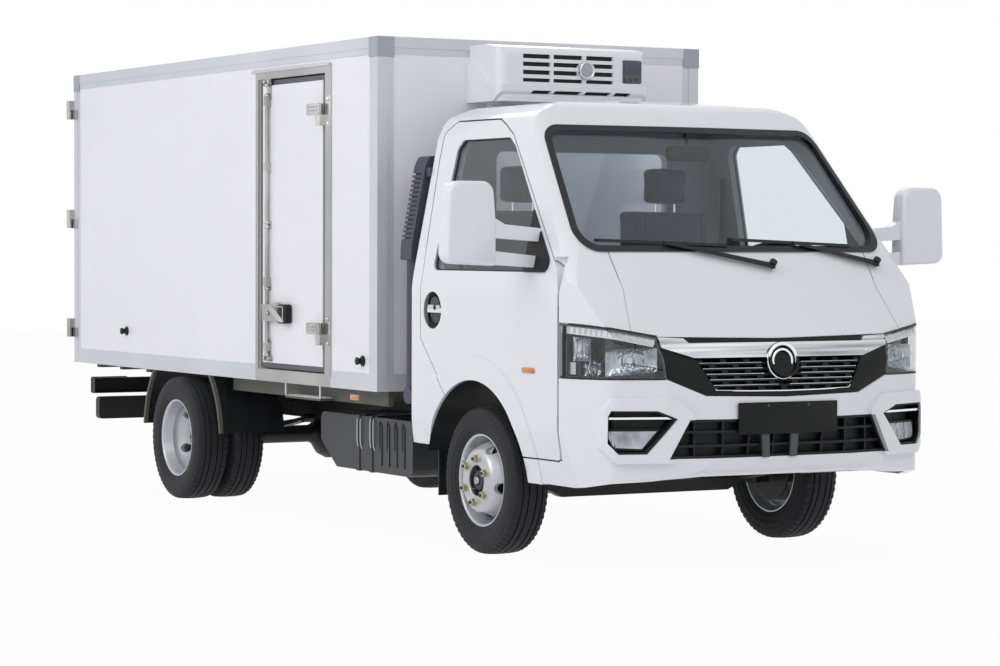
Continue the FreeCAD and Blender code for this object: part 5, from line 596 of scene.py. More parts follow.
for s, side in SIDES:
    front, rear, out = s * FRONT_WHEEL_X, s * REAR_WHEEL_X, (s, 0, 0)
    front_body, rear_body = f"front_{side}_wheel", f"rear_{side}_wheels"
    front_middle, rear_middle = (front, FRONT_AXLE_Y, AXLE_Z), (rear, REAR_AXLE_Y, AXLE_Z)
    twins = [(s * (REAR_WHEEL_X + t), REAR_AXLE_Y, AXLE_Z) for t in (-TWIN_HALF, TWIN_HALF)]
    build(f"front_tyre_{side}", front_body, "tyre_rubber", TYRE_RUBBER,
          [tyre(front_middle)], [f"tyre_front_{side}"], crease=24)
    build(f"rear_tyres_{side}", rear_body, "tyre_rubber", TYRE_RUBBER,
          [tyre(middle) for middle in twins], [f"tyres_rear_{side}"], crease=24)
    build(f"front_rim_{side}", front_body, "wheel_steel", SILVER_LACQUER,
          [turned(RIM, front_middle, out, 96)], [f"wheel_front_{side}"], crease=40)
    disc = build(f"front_disc_{side}", front_body, "wheel_steel", SILVER_LACQUER,
                 [turned(FRONT_DISC, front_middle, out, 96)], [f"wheel_front_{side}"], crease=40)
    pierced(disc, hand_holes(front, FRONT_AXLE_Y, -20, 104, s))
    # The inner twin's disc faces the other way
    build(f"rear_rims_{side}", rear_body, "wheel_steel", SILVER_LACQUER,
          [turned(RIM, middle, out, 96) for middle in twins]
          + [turned([(-a, r) for a, r in REAR_DISC], rear_middle, out, 96)],
          [f"wheels_rear_{side}"], crease=40)
    disc = build(f"rear_disc_{side}", rear_body, "wheel_steel", SILVER_LACQUER,
                 [turned(REAR_DISC, rear_middle, out, 96)], [f"wheels_rear_{side}"], crease=40)
    pierced(disc, hand_holes(rear, REAR_AXLE_Y, -8, 110, s))
    for name, body, x, y in ((f"front_nuts_{side}", front_body, front + s * 104, FRONT_AXLE_Y),
                             (f"rear_nuts_{side}", rear_body, rear + s * 8, REAR_AXLE_Y)):
        nuts, studs = nuts_of(x, y, s)
        build(name, body, "wheel_steel", ZINC, nuts, edge=0.8)
        build(name.replace("nuts", "studs"), body, "engine_iron", CAST_IRON, studs)
    # Hub in the middle of the front disc: flange, bearing housing, its bolts and the slotted axle nut
    middle = (front + s * 70, FRONT_AXLE_Y, AXLE_Z)
    hub = [turned(FRONT_HUB, middle, out, 64, False)]
    for i in range(8):
        hub.append(hexagon(spot(middle[0] + s * 3, FRONT_AXLE_Y, 58, 45 * i), out, 7, 8))
    build(f"front_hub_{side}", front_body, "engine_iron", CAST_IRON, hub, edge=0.8)
    build(f"axle_nut_{side}", front_body, "engine_iron", SATIN_CHROME,
          [hexagon((middle[0] + s * 20, FRONT_AXLE_Y, AXLE_Z), out, 19, 14)]
          + [slab((middle[0] + s * 33, middle[0] + s * 38), (FRONT_AXLE_Y - t - 3, FRONT_AXLE_Y - t + 3),
                  (AXLE_Z - 15, AXLE_Z + 15)) for t in (-7, 7)], edge=0.8)
    build(f"rear_hub_{side}", rear_body, "engine_iron", CAST_IRON,
          [turned(REAR_HUB, rear_middle, out, 64, False)]
          + [hexagon(spot(rear + s * 83, REAR_AXLE_Y, 36, 45 * i), out, 6, 6) for i in range(8)], edge=0.8)
    build(f"tyre_valves_{side}", front_body, "black_rubber", CHROME,
          [hose([spot(front + s * 50, FRONT_AXLE_Y, 184, 150), spot(front + s * 84, FRONT_AXLE_Y, 178, 150)],
                4, 10)])


# Nose

def mirrored(low, high):
    """Range of a part's box across the truck, measured from the middle outwards"""
    return min(abs(low.x), abs(high.x)), max(abs(low.x), abs(high.x))


regroup("grille", [
    ("grille_bar", "gloss_black", BAR_CHROME, lambda a, b: a.z > 915 and b.z > 1005 and a.z < 935),
    ("grille_badge", "gloss_black", PIANO_BLACK, lambda a, b: b.x - a.x < 200 and b.z < 995 and a.z > 800),
    ("grille_brow", "gloss_black", PIANO_BLACK, lambda a, b: a.z > 975),
    ("fog_strips", "gloss_black", CHROME, lambda a, b: a.z > 660 and b.z < 680),
    ("fog_trays", "inner_plastic", BLACK_MOULDING, lambda a, b: b.z < 705 and mirrored(a, b)[0] > 530),
    ("lower_grille", "inner_plastic", BLACK_MOULDING, lambda a, b: b.z < 705),
    ("grille_frame", "gloss_black", PIANO_BLACK, lambda a, b: True),
])
regroup("headlamps", [
    ("fog_lenses", "lamp_glass", FOG_FACETS, lambda a, b: b.z < 700),
    ("lamp_covers", "lamp_glass", LENS, lambda a, b: a.y < -2994.5 and b.z > 1020),
    ("lamp_housings", "inner_plastic", LAMP_MOULDING, lambda a, b: b.z - a.z > 200),
    ("light_guides", "lamp_glass", LIGHT_GUIDE, lambda a, b: b.z > 1030 and mirrored(a, b)[1] > 800),
    ("lamp_cover_inner_parts", "lamp_glass", LENS, lambda a, b: b.z > 1020 and a.z < 900),
    ("lamp_bowls", "lamp_glass", CHROME, lambda a, b: b.z < 920),
])

# Inside of the headlamps, set out along the slanting line of their front
LAMP_FOOT, LAMP_ALONG, LAMP_OUT = (-575, -2993), (-0.70, 0.715), (-0.715, -0.70)
# How far the clear cover stands out, at places along that line
COVER_REACH = [(0, 4), (40, 27), (100, 57), (160, 87), (220, 109), (280, 96), (340, 74), (400, 51),
               (440, 30), (474, 16)]
# Depth of the ripples that a reflector's flutes make
FLUTE_DEPTH = 4.5


def between(table, at):
    """Value read from a table of (place, value) by straight lines"""
    for (a0, b0), (a1, b1) in zip(table, table[1:]):
        if at <= a1:
            return b0 + (b1 - b0) * (at - a0) / (a1 - a0)
    return table[-1][1]


def cover_at(s, along, inset, z):
    """Point behind a headlamp's cover by an inset"""
    return lamp_spot(s, along, between(COVER_REACH, along) - inset, z)


def upper_edge(x):
    """Height of a headlamp's upper edge, which rises outwards"""
    return 1012 + (abs(x) - 598) * 0.183


def lamp_spot(s, along, out, z):
    """Point in a headlamp from its place along the slanting line and how far out it is"""
    x = LAMP_FOOT[0] + LAMP_ALONG[0] * along + LAMP_OUT[0] * out
    y = LAMP_FOOT[1] + LAMP_ALONG[1] * along + LAMP_OUT[1] * out
    return Vector((-s * x, y, z))


def dish(s, start, end, low, high, inset, deep, flutes):
    """Concave reflector with upright flutes, between two places and two heights"""
    rows = []
    for j in range(17):
        v = j / 16
        row = []
        for i in range(49):
            u = i / 48
            at = start + (end - start) * u
            hollow = (1 - abs(2 * u - 1) ** 2.6) * (1 - abs(2 * v - 1) ** 3.2)
            ripple = FLUTE_DEPTH * abs(math.sin(math.pi * flutes * u)) * hollow
            height = low(at) + (high(at) - low(at)) * v
            row.append(cover_at(s, at, inset + deep * hollow - ripple, height))
        rows.append(row)
    return surface(rows)


for s, side in SIDES:
    build(f"inner_reflector_{side}", "chassis", "lamp_glass", REFLECTOR,
          [dish(s, 42, 250, lambda a: 870 - 26 * ((a - 42) / 208) ** 0.6,
                lambda a: 966 - 20 * ((a - 42) / 208) ** 6, 22, 38, 6)], crease=50)
    build(f"outer_reflector_{side}", "chassis", "lamp_glass", REFLECTOR,
          [dish(s, 318, 404, lambda a: 908, lambda a: 1002 + (a - 318) * 0.12, 20, 30, 5)], crease=50)
    build(f"low_reflector_{side}", "chassis", "lamp_glass", REFLECTOR,
          [dish(s, 286, 350, lambda a: 846, lambda a: 898, 30, 22, 4)], crease=50)
    build(f"lamp_side_panel_{side}", "chassis", "inner_plastic", SATIN_CHROME,
          [surface([[cover_at(s, a, 22, z) for a in (392, 410, 432)] for z in (850, 902)])])
    # Bulb shield on its stem and the level line across the inner reflector
    shield = cover_at(s, 150, 24, 912)
    way = lamp_spot(s, 0, 1, 0) - lamp_spot(s, 0, 0, 0)
    build(f"bulb_shield_{side}", "chassis", "lamp_glass", SATIN_CHROME,
          [turned([(-26, 0), (-26, 6), (-8, 8), (0, 17), (4, 15), (6, 0)], shield, way, 32, False)])
    build(f"reflector_line_{side}", "chassis", "inner_plastic", PIANO_BLACK,
          [hose([cover_at(s, a, 21, 884 + (a - 60) * 0.16) for a in (48, 90, 130, 170)], 2.2, 8)])
    # Chambers of the light guide
    cells = []
    for i in range(15):
        place = cover_at(s, 52 + i * 26.5, 6, 0)
        top = upper_edge(place.x)
        cells.append(hose([place + Vector((0, 0, top - 37)), place + Vector((0, 0, top - 15))], 2.4, 8))
    build(f"guide_ribs_{side}", "chassis", "lamp_glass", SATIN_CHROME, cells)
    # Black rubber bezel round the cover at its lower and outer edges; the strip along its upper edge is
    # painted shade, standing in for the shadow gap under the hood
    shade_gap_top, edge_low = [], []
    for at in range(4, 472, 12):
        place = cover_at(s, at, 1, 0)
        shade_gap_top.append(place + Vector((0, 0, upper_edge(place.x))))
        edge_low.append(place + Vector((0, 0, 836)))
    build(f"lamp_bezel_and_shade_gap_{side}", "chassis", "black_rubber", SEAL_RUBBER,
          [hose(shade_gap_top[3:-3], 4.6, 8), hose(edge_low, 4.2, 8),
           hose([lamp_spot(s, 446, 22, 838), lamp_spot(s, 446, 22, 1058)], 9, 10)])

# Round boss of the grille: two plain chromium rings on a dark disc
boss = meet("grille", (0, AHEAD_Y, 905), (0, 1, 0))[0]
build("badge_ring", "chassis", "gloss_black", CHROME, [
    turned([(0, 66), (5, 68), (8, 73), (7, 79), (2, 82), (-6, 82), (-6, 66)], boss, (0, -1, 0.06), 72),
    turned([(0, 44), (3, 46), (4, 50), (3, 54), (0, 56), (-4, 56), (-4, 44)], boss, (0, -1, 0.06), 72)],
    crease=50)

# Thin bright line along the sides and the lower edge of the slatted opening
MESH_LOW, MESH_TALL = 777, 143
MESH_REACH_LOW, MESH_REACH_GAIN = 352, 87
line = []
for x, z in ((-470, 946), (-439, 920), (-352, 783), (-180, 779), (0, 777), (180, 779), (352, 783),
             (439, 920), (470, 946)):
    hit = meet("grille", (x, AHEAD_Y, z), (0, 1, 0))
    if hit:
        line.append(hit[0] + Vector((0, -1, 0)))
build("mesh_outline", "chassis", "gloss_black", CHROME, [hose(bent(line, 14), 3.2, 8)])

# Painted highlights along the tops of the slats: satin chromium strips, which stop at the boss
edges = []
for row in range(1, 6):
    z = MESH_LOW + MESH_TALL / 6 * row + 4.4
    reach = MESH_REACH_LOW + MESH_REACH_GAIN * (row / 6) - 8
    run = []
    for i in range(25):
        hit = meet("grille", (-reach + reach * i / 12, AHEAD_Y, z - 1.5), (0, 1, 0))
        if hit:
            run.append(hit[0] + Vector((0, -0.4, 1.2)))
    near = sorted(p.y for p in run)[len(run) // 2]
    run = [p for p in run if abs(p.y - near) < 45 and (abs(p.x) > 92 or not 830 < z < 985)]
    for part in ([p for p in run if p.x < 0], [p for p in run if p.x > 0]):
        if len(part) > 3:
            edges.append(hose(part, 1.5, 6))
build("slat_top_highlights", "chassis", "gloss_black", SATIN_CHROME, edges)

# Plate holder: a blank plate on two legs before the lower grille
PLATE_HALF, PLATE_Z, PLATE_Y = 259, (593, 730), -3066
build("front_plate", "chassis", "gloss_black", PIANO_BLACK,
      [prism(rounded((-PLATE_HALF, PLATE_Z[0]), (PLATE_HALF, PLATE_Z[1]), 5), "y", PLATE_Y - 6, PLATE_Y)],
      edge=1)
legs = []
for x, lean in ((-115, -6), (38, 6)):
    outline = [(x - 17 - lean, 492), (x + 17 - lean, 492), (x + 21, 600), (x - 21, 600)]
    legs.append(prism(outline, "y", PLATE_Y, PLATE_Y + 14))
build("plate_legs", "chassis", "chassis_black", LEG_PLASTIC, legs, edge=1.5)
build("plate_screws", "chassis", "engine_iron", CAST_IRON,
      [turned([(0, 0), (0, 7), (2, 6), (3, 3), (3, 0)], (x, PLATE_Y - 6, 715), (0, -1, 0), 16, False)
       for x in (-105, 105)])


# Cab doors and mirrors

HANDLE_Y, HANDLE_Z = -1515, 1100
# Section of the handle's cup, and points round its rear surround from the handle's middle
HANDLE_CUP = [(-23, 0), (-22, 52), (-17, 66), (-7, 76), (0.5, 80), (2.5, 83), (1.5, 87), (-6, 87)]
HANDLE_SURROUND = [(70, -66), (84, -50), (84, 60), (60, 80), (26, 84), (50, 48), (60, 0), (50, -48),
                   (40, -70)]


def half_oval(y, z, reach, rise, start):
    """Outline of half an oval about a point, from an angle onwards"""
    turns = [math.radians(d) for d in range(start, start + 181, 12)]
    return [(y + reach * math.cos(t), z + rise * math.sin(t)) for t in turns]


for s, side in SIDES:
    body = f"cab_door_{side}"
    skin = abs(meet(body, (s * 1400, HANDLE_Y, HANDLE_Z + 105), (-s, 0, 0))[0].x)
    build(f"handle_cup_{side}", body, "inner_plastic", BLACK_MOULDING,
          [turned(HANDLE_CUP, (s * skin, HANDLE_Y, HANDLE_Z), (s, 0, 0), 56, False)], crease=40)
    build(f"handle_surround_{side}", body, "inner_plastic", LEG_PLASTIC,
          [prism([(HANDLE_Y + y, HANDLE_Z + z) for y, z in HANDLE_SURROUND], "x",
                 s * (skin - 8), s * (skin + 3))], edge=3)
    build(f"handle_flap_{side}", body, "inner_plastic", LEG_PLASTIC,
          [prism(half_oval(HANDLE_Y, HANDLE_Z + 27, 44, 36, 0), "x", s * (skin - 22), s * (skin - 6))],
          edge=4)
    build(f"handle_grip_{side}", body, "gloss_black", SATIN_CHROME,
          [prism(rounded((HANDLE_Y - 62, HANDLE_Z + 2), (HANDLE_Y + 58, HANDLE_Z + 25), 8), "x",
                 s * (skin - 14), s * (skin + 1))], edge=4)
    build(f"handle_lock_{side}", body, "gloss_black", PIANO_BLACK,
          [turned([(-8, 0), (-8, 11), (3, 11), (4, 9), (3, 4), (2, 3), (2, 0)],
                  (s * skin, HANDLE_Y - 16, HANDLE_Z + 13), (s, 0, 0), 32, False)])
    build(f"handle_cup_floor_{side}", body, "inner_plastic", LEG_PLASTIC,
          [prism(half_oval(HANDLE_Y, HANDLE_Z, 48, 62, 180), "x", s * (skin - 21.5), s * (skin - 13))],
          edge=3)
    rim = outline_of(f"cab_door_glass_{side}", (s, 0, 0))
    build(f"window_seal_{side}", body, "black_rubber", SEAL_RUBBER, [hose(rim, 6.5, 8, True)], crease=60)
    # Amber repeater low on the door
    build(f"repeater_{side}", body, "lamp_glass", AMBER_ACRYLIC,
          [prism(rounded((-2456, 843), (-2350, 868), 10), "x", s * 906, s * 921)], edge=4)
    # Mirror glass on the rear face of its head
    x0, x1 = sorted((s * 1152, s * 1322))
    build(f"mirror_glass_{side}", body, "clear_glass", MIRROR_GLASS,
          [prism(rounded((x0, 1330), (x1, 1655), 32), "y", -2352, -2341)], edge=2)

for _, side in SIDES:
    regroup(f"mirror_{side}", [
        (f"mirror_plate_{side}", "inner_plastic", BLACK_MOULDING, lambda a, b: b.z < 1570),
        (f"mirror_head_{side}", "cab_white", ENAMEL, lambda a, b: True)])


# Inside the cab

# A driver's eye, in millimetres, and how far the trim stands off the panels
EYE, TRIM_GAP = Vector((0, -1950, 1500)), 2.2


def lining(name, node, finish, test):
    """Trim that follows the inward faces of a CAD shell, a little in front of them"""
    bm, _ = shells(node)
    spare = []
    for face in bm.faces:
        middle = face.calc_center_median() / MM
        inward = (EYE - middle).normalized().dot(face.normal)
        if inward < 0.25 or not test(middle, face.normal):
            spare.append(face)
    bmesh.ops.delete(bm, geom=spare, context="FACES")
    bm.normal_update()
    for vert in bm.verts:
        vert.co += vert.normal * TRIM_GAP * MM
    if bm.faces:
        finished(bm, name, BODY_OF[node], "inner_plastic", finish, (), math.radians(35))


def in_cab(point, normal):
    """Whether a point lies inside the cab above the floor"""
    return point.z > 900 and -2760 < point.y < -1330 and abs(point.x) < 880


lining("headlining", "cab_roof", HEADLINING, in_cab)
lining("pillar_trim", "cab_side_frames", HEADLINING, in_cab)
lining("back_trim", "cab_back_panel", HEADLINING, in_cab)
lining("front_trim", "cab_front_panel", CAB_MOULDING, in_cab)
for s, side in SIDES:
    lining(f"door_trim_{side}", f"cab_door_{side}", HEADLINING,
           lambda point, normal: point.z > 640 and -2760 < point.y < -1400 and abs(point.x) < 895)


# Cushions start smaller by this inset, in millimetres, and swell by this much at most, in metres
PAD_INSET, PAD_SWELL = 14, 0.012
PAD_EDGE, PAD_VOXEL, PAD_VOXEL_QUICK = 0.028, 0.009, 0.012


def cushion(name, low, high, channels):
    """Padded seat part blown up a little by cloth pressure, with sewn channels pressed in afterwards"""
    (x0, y0, z0), (x1, y1, z1) = low, high
    points, faces = slab((x0 + PAD_INSET, x1 - PAD_INSET), (y0 + PAD_INSET, y1 - PAD_INSET),
                         (z0 + 2, z1 - PAD_INSET))
    bm = bmesh.new()
    made = [bm.verts.new(Vector(p) * MM) for p in points]
    for face in faces:
        bm.faces.new([made[i] for i in face])
    bmesh.ops.recalc_face_normals(bm, faces=bm.faces)
    bmesh.ops.bevel(bm, geom=list(bm.edges), offset=PAD_EDGE, segments=4, profile=0.6, affect="EDGES")
    mesh = bpy.data.meshes.new(name)
    bm.to_mesh(mesh)
    bm.free()
    thing = bpy.data.objects.new(name, mesh)
    bpy.context.scene.collection.objects.link(thing)
    grid = thing.modifiers.new("grid", "REMESH")
    grid.mode = "VOXEL"
    grid.voxel_size = PAD_VOXEL
    bake(thing)
    before = [v.co.copy() for v in thing.data.vertices]
    cloth = thing.modifiers.new("cloth", "CLOTH")
    cloth.settings.use_pressure = True
    cloth.settings.uniform_pressure_force = 4
    cloth.settings.effector_weights.gravity = 0
    for step in range(1, 21):
        bpy.context.scene.frame_set(step)
    bake(thing)
    for vert, start in zip(thing.data.vertices, before):
        move = vert.co - start
        if move.length > PAD_SWELL:
            vert.co = start + move.normalized() * PAD_SWELL
    bpy.context.scene.frame_set(1)
    for vert in thing.data.vertices:
        place = vert.co / MM
        push = 0.0
        for axis, at, width, depth, facing in channels:
            if place[facing[0]] * facing[1] > facing[2]:
                push = max(push, depth * math.exp(-((place[axis] - at) / width) ** 2))
        for facing in {c[4] for c in channels}:
            if place[facing[0]] * facing[1] > facing[2] and push:
                vert.co[facing[0]] -= facing[1] * push * MM
    smooth = thing.modifiers.new("smooth", "SUBSURF")
    smooth.levels = smooth.render_levels = 1
    bake(thing)
    thing.data.materials.append(SEAT_CLOTH)
    for face in thing.data.polygons:
        face.use_smooth = True
    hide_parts("seats")
    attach(thing, "chassis")


# Channels: (axis, place, width, depth, the face that they are pressed into)
for s, side in SIDES:
    x0, x1 = sorted((s * 140, s * 660))
    middle = s * 400
    top, front = (2, 1, 1030), (1, -1, 1490)
    cushion(f"seat_{side}", (x0, -2260, 945), (x1, -1545, 1082), [
        (0, middle - 165, 7, 9, top), (0, middle + 165, 7, 9, top),
        (1, -1780, 7, 7, top), (1, -1930, 7, 7, top), (1, -2080, 7, 7, top)])
    cushion(f"backrest_{side}", (x0, -1528, 900), (x1, -1390, 1590), [
        (0, middle - 160, 7, 9, front), (0, middle + 160, 7, 9, front),
        (2, 1130, 7, 7, front), (2, 1270, 7, 7, front), (2, 1410, 7, 7, front)])
    cushion(f"headrest_{side}", (middle - 124, -1502, 1604), (middle + 124, -1400, 1786), [
        (0, middle - 80, 6, 5, front), (0, middle + 80, 6, 5, front)])
    build(f"headrest_posts_{side}", "chassis", "stainless", CHROME,
          [hose([(middle + t * 55, -1452, 1560), (middle + t * 55, -1452, 1650)], 5.5, 12) for t in (-1, 1)])
    base = [slab((x0 + 30, x1 - 30), (-2215, -1590), (886, 950))]
    base += [slab((runner - 14, runner + 14), (-2250, -1600), (886, 905))
             for runner in (middle - 215, middle + 215)]
    build(f"seat_base_{side}", "chassis", "inner_plastic", BLACK_MOULDING, base, ["seats"], edge=6)
    # Belt from the pillar down to the buckle beside the cushion
    belt = [(s * 752, -1432, 1770), (s * 745, -1440, 1500), (s * 722, -1470, 1180), (s * 700, -1500, 960)]
    route = bent(belt, 60)
    strap = [[p + Vector((0, half, 0)) for p in route] for half in (-24, 24)]
    build(f"belt_{side}", "chassis", "seat_fabric", WEBBING, [surface(strap)], crease=60)
    build(f"belt_anchor_{side}", "chassis", "inner_plastic", BLACK_MOULDING,
          [prism(rounded((-1462, 1745), (-1404, 1812), 14), "x", s * 748, s * 764)], edge=4)

# Mirror on its stalk inside the screen, sun visors, the console between the seats and the gear lever
build("inner_mirror", "chassis", "inner_plastic", BLACK_MOULDING,
      [prism(rounded((-112, 1786), (118, 1856), 24), "y", -2276, -2252),
       hose(bent([(0, -2262, 1838), (0, -2258, 1880), (0, -2236, 1912)], 14), 8, 12)], edge=4)
build("inner_mirror_glass", "chassis", "clear_glass", MIRROR_GLASS,
      [prism(rounded((-104, 1793), (110, 1849), 20), "y", -2254, -2250)])
build("sun_visors", "chassis", "inner_plastic", HEADLINING,
      [prism(rounded((x0, -2140), (x1, -1985), 22), "z", 1925, 1940)
       for x0, x1 in ((-560, -150), (150, 560))], edge=5)
build("console", "chassis", "inner_plastic", CAB_MOULDING,
      [prism([(-2300, 888), (-2300, 1060), (-2230, 1030), (-2080, 965), (-1640, 955), (-1640, 888)], "x",
             -96, 96)], edge=14)
build("gear_lever", "chassis", "inner_plastic", PIANO_BLACK,
      [hose([(0, -2060, 965), (6, -2075, 1120)], 7, 12),
       turned([(0, 0), (2, 16), (14, 24), (30, 25), (44, 18), (50, 0)], (6, -2078, 1112), (0, -0.1, 1),
              32, False)])


# Insulated box

regroup("box_trim", [
    ("corner_caps_front", "inner_plastic", GREY_MOULDING,
     lambda a, b: a.z > 2290 and b.y < -860 and mirrored(a, b)[0] > 800),
    ("corner_caps_rear", "inner_plastic", GREY_MOULDING,
     lambda a, b: a.z > 2290 and a.y > 2900 and mirrored(a, b)[0] > 800),
    ("edge_rails", "rail_aluminium", ANODISED, lambda a, b: True),
])

# Side door: box latch with its lever and black grip, cast keepers on the lock rod, and the rain gutter above
build("latch_housing", "side_door", "stainless", STAINLESS,
      [prism([(92, 1004), (298, 1008), (300, 1092), (96, 1096)], "x", -BOX_X - 33, -BOX_X - 1),
       prism([(120, 1096), (296, 1092), (298, 1080), (120, 1070)], "x", -BOX_X - 38, -BOX_X - 30)], edge=3)
build("latch_lever", "side_door", "stainless", CAST_STAINLESS,
      [prism([(196, 1078), (150, 1086), (20, 1016), (20, 1005), (60, 1004), (188, 1060)], "x",
             -BOX_X - 44, -BOX_X - 33),
       turned([(0, 0), (0, 13), (6, 13), (9, 9), (9, 5), (6, 4), (6, 0)], (-BOX_X - 33, 222, 1046),
              (-1, 0, 0), 32, False),
       prism(rounded((128, 1086), (196, 1104), 6), "x", -BOX_X - 36, -BOX_X - 6)], edge=2.5)
build("latch_grip", "side_door", "inner_plastic", BLACK_MOULDING,
      [prism(rounded((-4, 998), (98, 1096), 16), "x", -BOX_X - 40, -BOX_X - 4)], edge=5)
build("latch_grip_line", "side_door", "stainless", SATIN_CHROME,
      [hose(bent([(-BOX_X - 41, y, z) for y, z in ((84, 1010), (30, 1010), (26, 1084), (84, 1084))], 14),
            2.4, 8)])
# Cast hinges: three ribs along the leaf's arm, and the frame's plate with its two screws
for z in (956, 2045):
    build(f"hinge_ribs_{z}", "side_door", "stainless", CAST_STAINLESS,
          [hose([(-957, -384, z + t), (-959, -330, z + t), (-955, -268, z + t)], 7.5, 14)
           for t in (10, 28, 46)]
          + [prism(rounded((-392, z - 2), (-266, z + 57), 10), "x", -BOX_X - 48, -BOX_X - 30)], edge=2)
    build(f"hinge_screws_{z}", "chassis", "stainless", CAST_STAINLESS,
          [turned([(0, 0), (0, 13), (7, 12), (11, 8), (11, 0)], (-918, -428, z + t), (-1, 0, 0), 24, False)
           for t in (-46, 76)]
          + [prism(rounded((-452, z - 64), (-410, z + 94), 9), "x", -919.5, -914)], edge=1.2)
# Keepers that hold the lock rod to the leaf, each a plate with two collars and two rivets
ROD_Y = 270
keepers = []
for z, height in ((2190, 96), (860, 110), (1501, 40), (1180, 30)):
    keepers.append(prism(rounded((ROD_Y - 23, z - height / 2), (ROD_Y + 23, z + height / 2), 7), "x",
                         -BOX_X - 6, -BOX_X))
    for t in (-1, 1):
        rivet, collar = (-BOX_X - 6, ROD_Y - t * 17, z + t * (height / 2 - 9)), z + t * height * 0.28
        keepers.append(turned([(0, 0), (0, 6.5), (3, 6), (4.5, 3), (4.5, 0)], rivet, (-1, 0, 0), 12, False))
        keepers.append(hose([(-924, ROD_Y, collar - 6), (-924, ROD_Y, collar + 6)], 17, 20))
build("rod_keepers", "side_door", "stainless", CAST_STAINLESS, keepers, edge=1.5)
# Cam lugs on the frame that the rod's ends lock into
lugs = []
for z in (2236, 812):
    lugs.append(prism(rounded((ROD_Y - 38, z - 14), (ROD_Y + 38, z + 14), 8), "x", -BOX_X - 14, -BOX_X - 6))
    for t in (-26, 26):
        lugs.append(turned([(0, 0), (0, 12), (12, 11), (15, 7), (15, 0)], (-BOX_X - 12, ROD_Y + t, z),
                           (-1, 0, 0), 24, False))
build("cam_lugs", "chassis", "stainless", CAST_STAINLESS, lugs, edge=1.5)
build("rain_gutter", "chassis", "rail_aluminium", ANODISED,
      [prism([(-BOX_X - out, z) for out, z in ((0, 2288), (13, 2288), (15, 2296), (12, 2298), (11, 2292),
                                               (3, 2292), (2, 2306), (0, 2306))], "y", -442, 476)], edge=0.6)
# Rubber knobs that hold the open doors off the box's side
KNOB = [(0, 0), (0, 26), (4, 26), (6, 20), (14, 15), (26, 15), (30, 19), (35, 19), (38, 14), (38, 0)]
build("door_stays", "chassis", "inner_plastic", BLACK_MOULDING,
      [turned(KNOB, (-BOX_X, y, z), (-1, 0, 0), 32, False) for y, z in ((-797, 838), (2199, 901))],
      crease=30)
build("marker_lamp", "chassis", "lamp_glass", AMBER_ACRYLIC,
      [prism(rounded((-768, 644), (-680, 672), 8), "x", -BOX_X - 12, -BOX_X + 2)], edge=3)

# Refrigerating unit: black sheets behind its slots as painted shade of its inside, a display with its keys,
# and a plain round boss
UNIT_FOOT, UNIT_TALL, BACK_Y = 2092, 278, (-1236, -1229)
SLOT_X = ((-282, -130), (-112, 51), (72, 225))
SLOT_Z = [(UNIT_FOOT + UNIT_TALL * a, UNIT_FOOT + UNIT_TALL * b)
          for a, b in ((0.342, 0.406), (0.471, 0.547), (0.612, 0.687), (0.748, 0.824))]
LOW_SLOT_X = ((-245, -134), (-121, 34), (52, 202), (220, 317))
backs = [slab((a - 4, b + 4), BACK_Y, (c - 3, d + 3)) for a, b in SLOT_X for c, d in SLOT_Z]
backs += [slab((a - 3, b + 3), BACK_Y, (2126, 2150)) for a, b in LOW_SLOT_X]
build("unit_slot_shade_backs", "chassis", "inner_plastic", BLACK_MOULDING, backs)
build("unit_display", "chassis", "gloss_black", DISPLAY,
      [prism(rounded((281, 2195), (391, 2307), 9), "y", -1251, -1245)], edge=1.2)
build("unit_display_frame", "chassis", "inner_plastic", CAB_MOULDING,
      [prism(rounded((289, 2238), (383, 2300), 5), "y", -1253.5, -1251)]
      + [prism(rounded((x, 2203), (x + 22, 2221), 4), "y", -1256, -1251) for x in (291, 325, 359)], edge=0.8)
UNIT_BOSS = (68, -1263, 2249)
build("unit_badge", "chassis", "stainless", SATIN_CHROME,
      [turned([(0, 32), (0, 44), (6, 43), (8, 38), (6, 34), (4, 32)], UNIT_BOSS, (0, -1, 0))], crease=40)
build("unit_badge_face", "chassis", "inner_plastic", GREY_MOULDING,
      [turned([(0, 0), (0, 34), (4, 33), (6, 0)], UNIT_BOSS, (0, -1, 0), 48, False)])

# Under the box: mudguards with olive edges, the step with its toothed tread, and the tank
regroup("mudguards", [
    ("mudguard_edges", "subframe_olive", OLIVE_PRIMER, lambda a, b: mirrored(a, b)[0] > 890),
    ("mud_flaps", "black_rubber", SEAL_RUBBER, lambda a, b: b.y < -1430),
    ("mudguard_sheets", "black_rubber", BLACK_MOULDING, lambda a, b: True),
])
teeth = []
for row in range(4):
    x = -834 - row * 19
    for i in range(26):
        y = -312 + i * 15.6
        teeth.append(prism([(x - 6, 631), (x + 6, 631), (x + 3, 637), (x - 3, 637)], "y", y, y + 9))
build("step_hangers", "chassis", "stainless", GALVANISED,
      [hose(bent([(-896, y, 716), (-904, y, 700), (-904, y, 636), (-892, y, 626)], 8), 6, 10)
       for y in (-314, 84)])
build("step_tread", "chassis", "stainless", GALVANISED, [slab((-906, -830), (-320, 90), (631, 633))] + teeth)
# Painted highlights along the edges of the tank's straps, drawn as bright lines, and the tank's upright
# ribs, at shares of its length
TANK_FRONT_Y, TANK_LONG = -927, 1010
straps = []
for share in (0.42, 0.56):
    for t in (-17, 17):
        y = TANK_FRONT_Y + TANK_LONG * share + t
        route = [(-395, y, 553), (-690, y, 553), (-713, y, 530), (-713, y, 400), (-652, y, 266),
                 (-520, y, 264)]
        straps.append(hose(bent(route, 30), 2.6, 8))
build("tank_strap_highlights", "chassis", "stainless", SATIN_CHROME, straps)
ribs = []
for share in (0.10, 0.18, 0.26, 0.34):
    y = TANK_FRONT_Y + TANK_LONG * share
    ribs.append(hose(bent([(-690, y, 545), (-709, y, 520), (-709, y, 396), (-690, y, 350)], 16), 5, 8))
build("tank_ribs", "chassis", "chassis_black", TANK_PLASTIC, ribs)
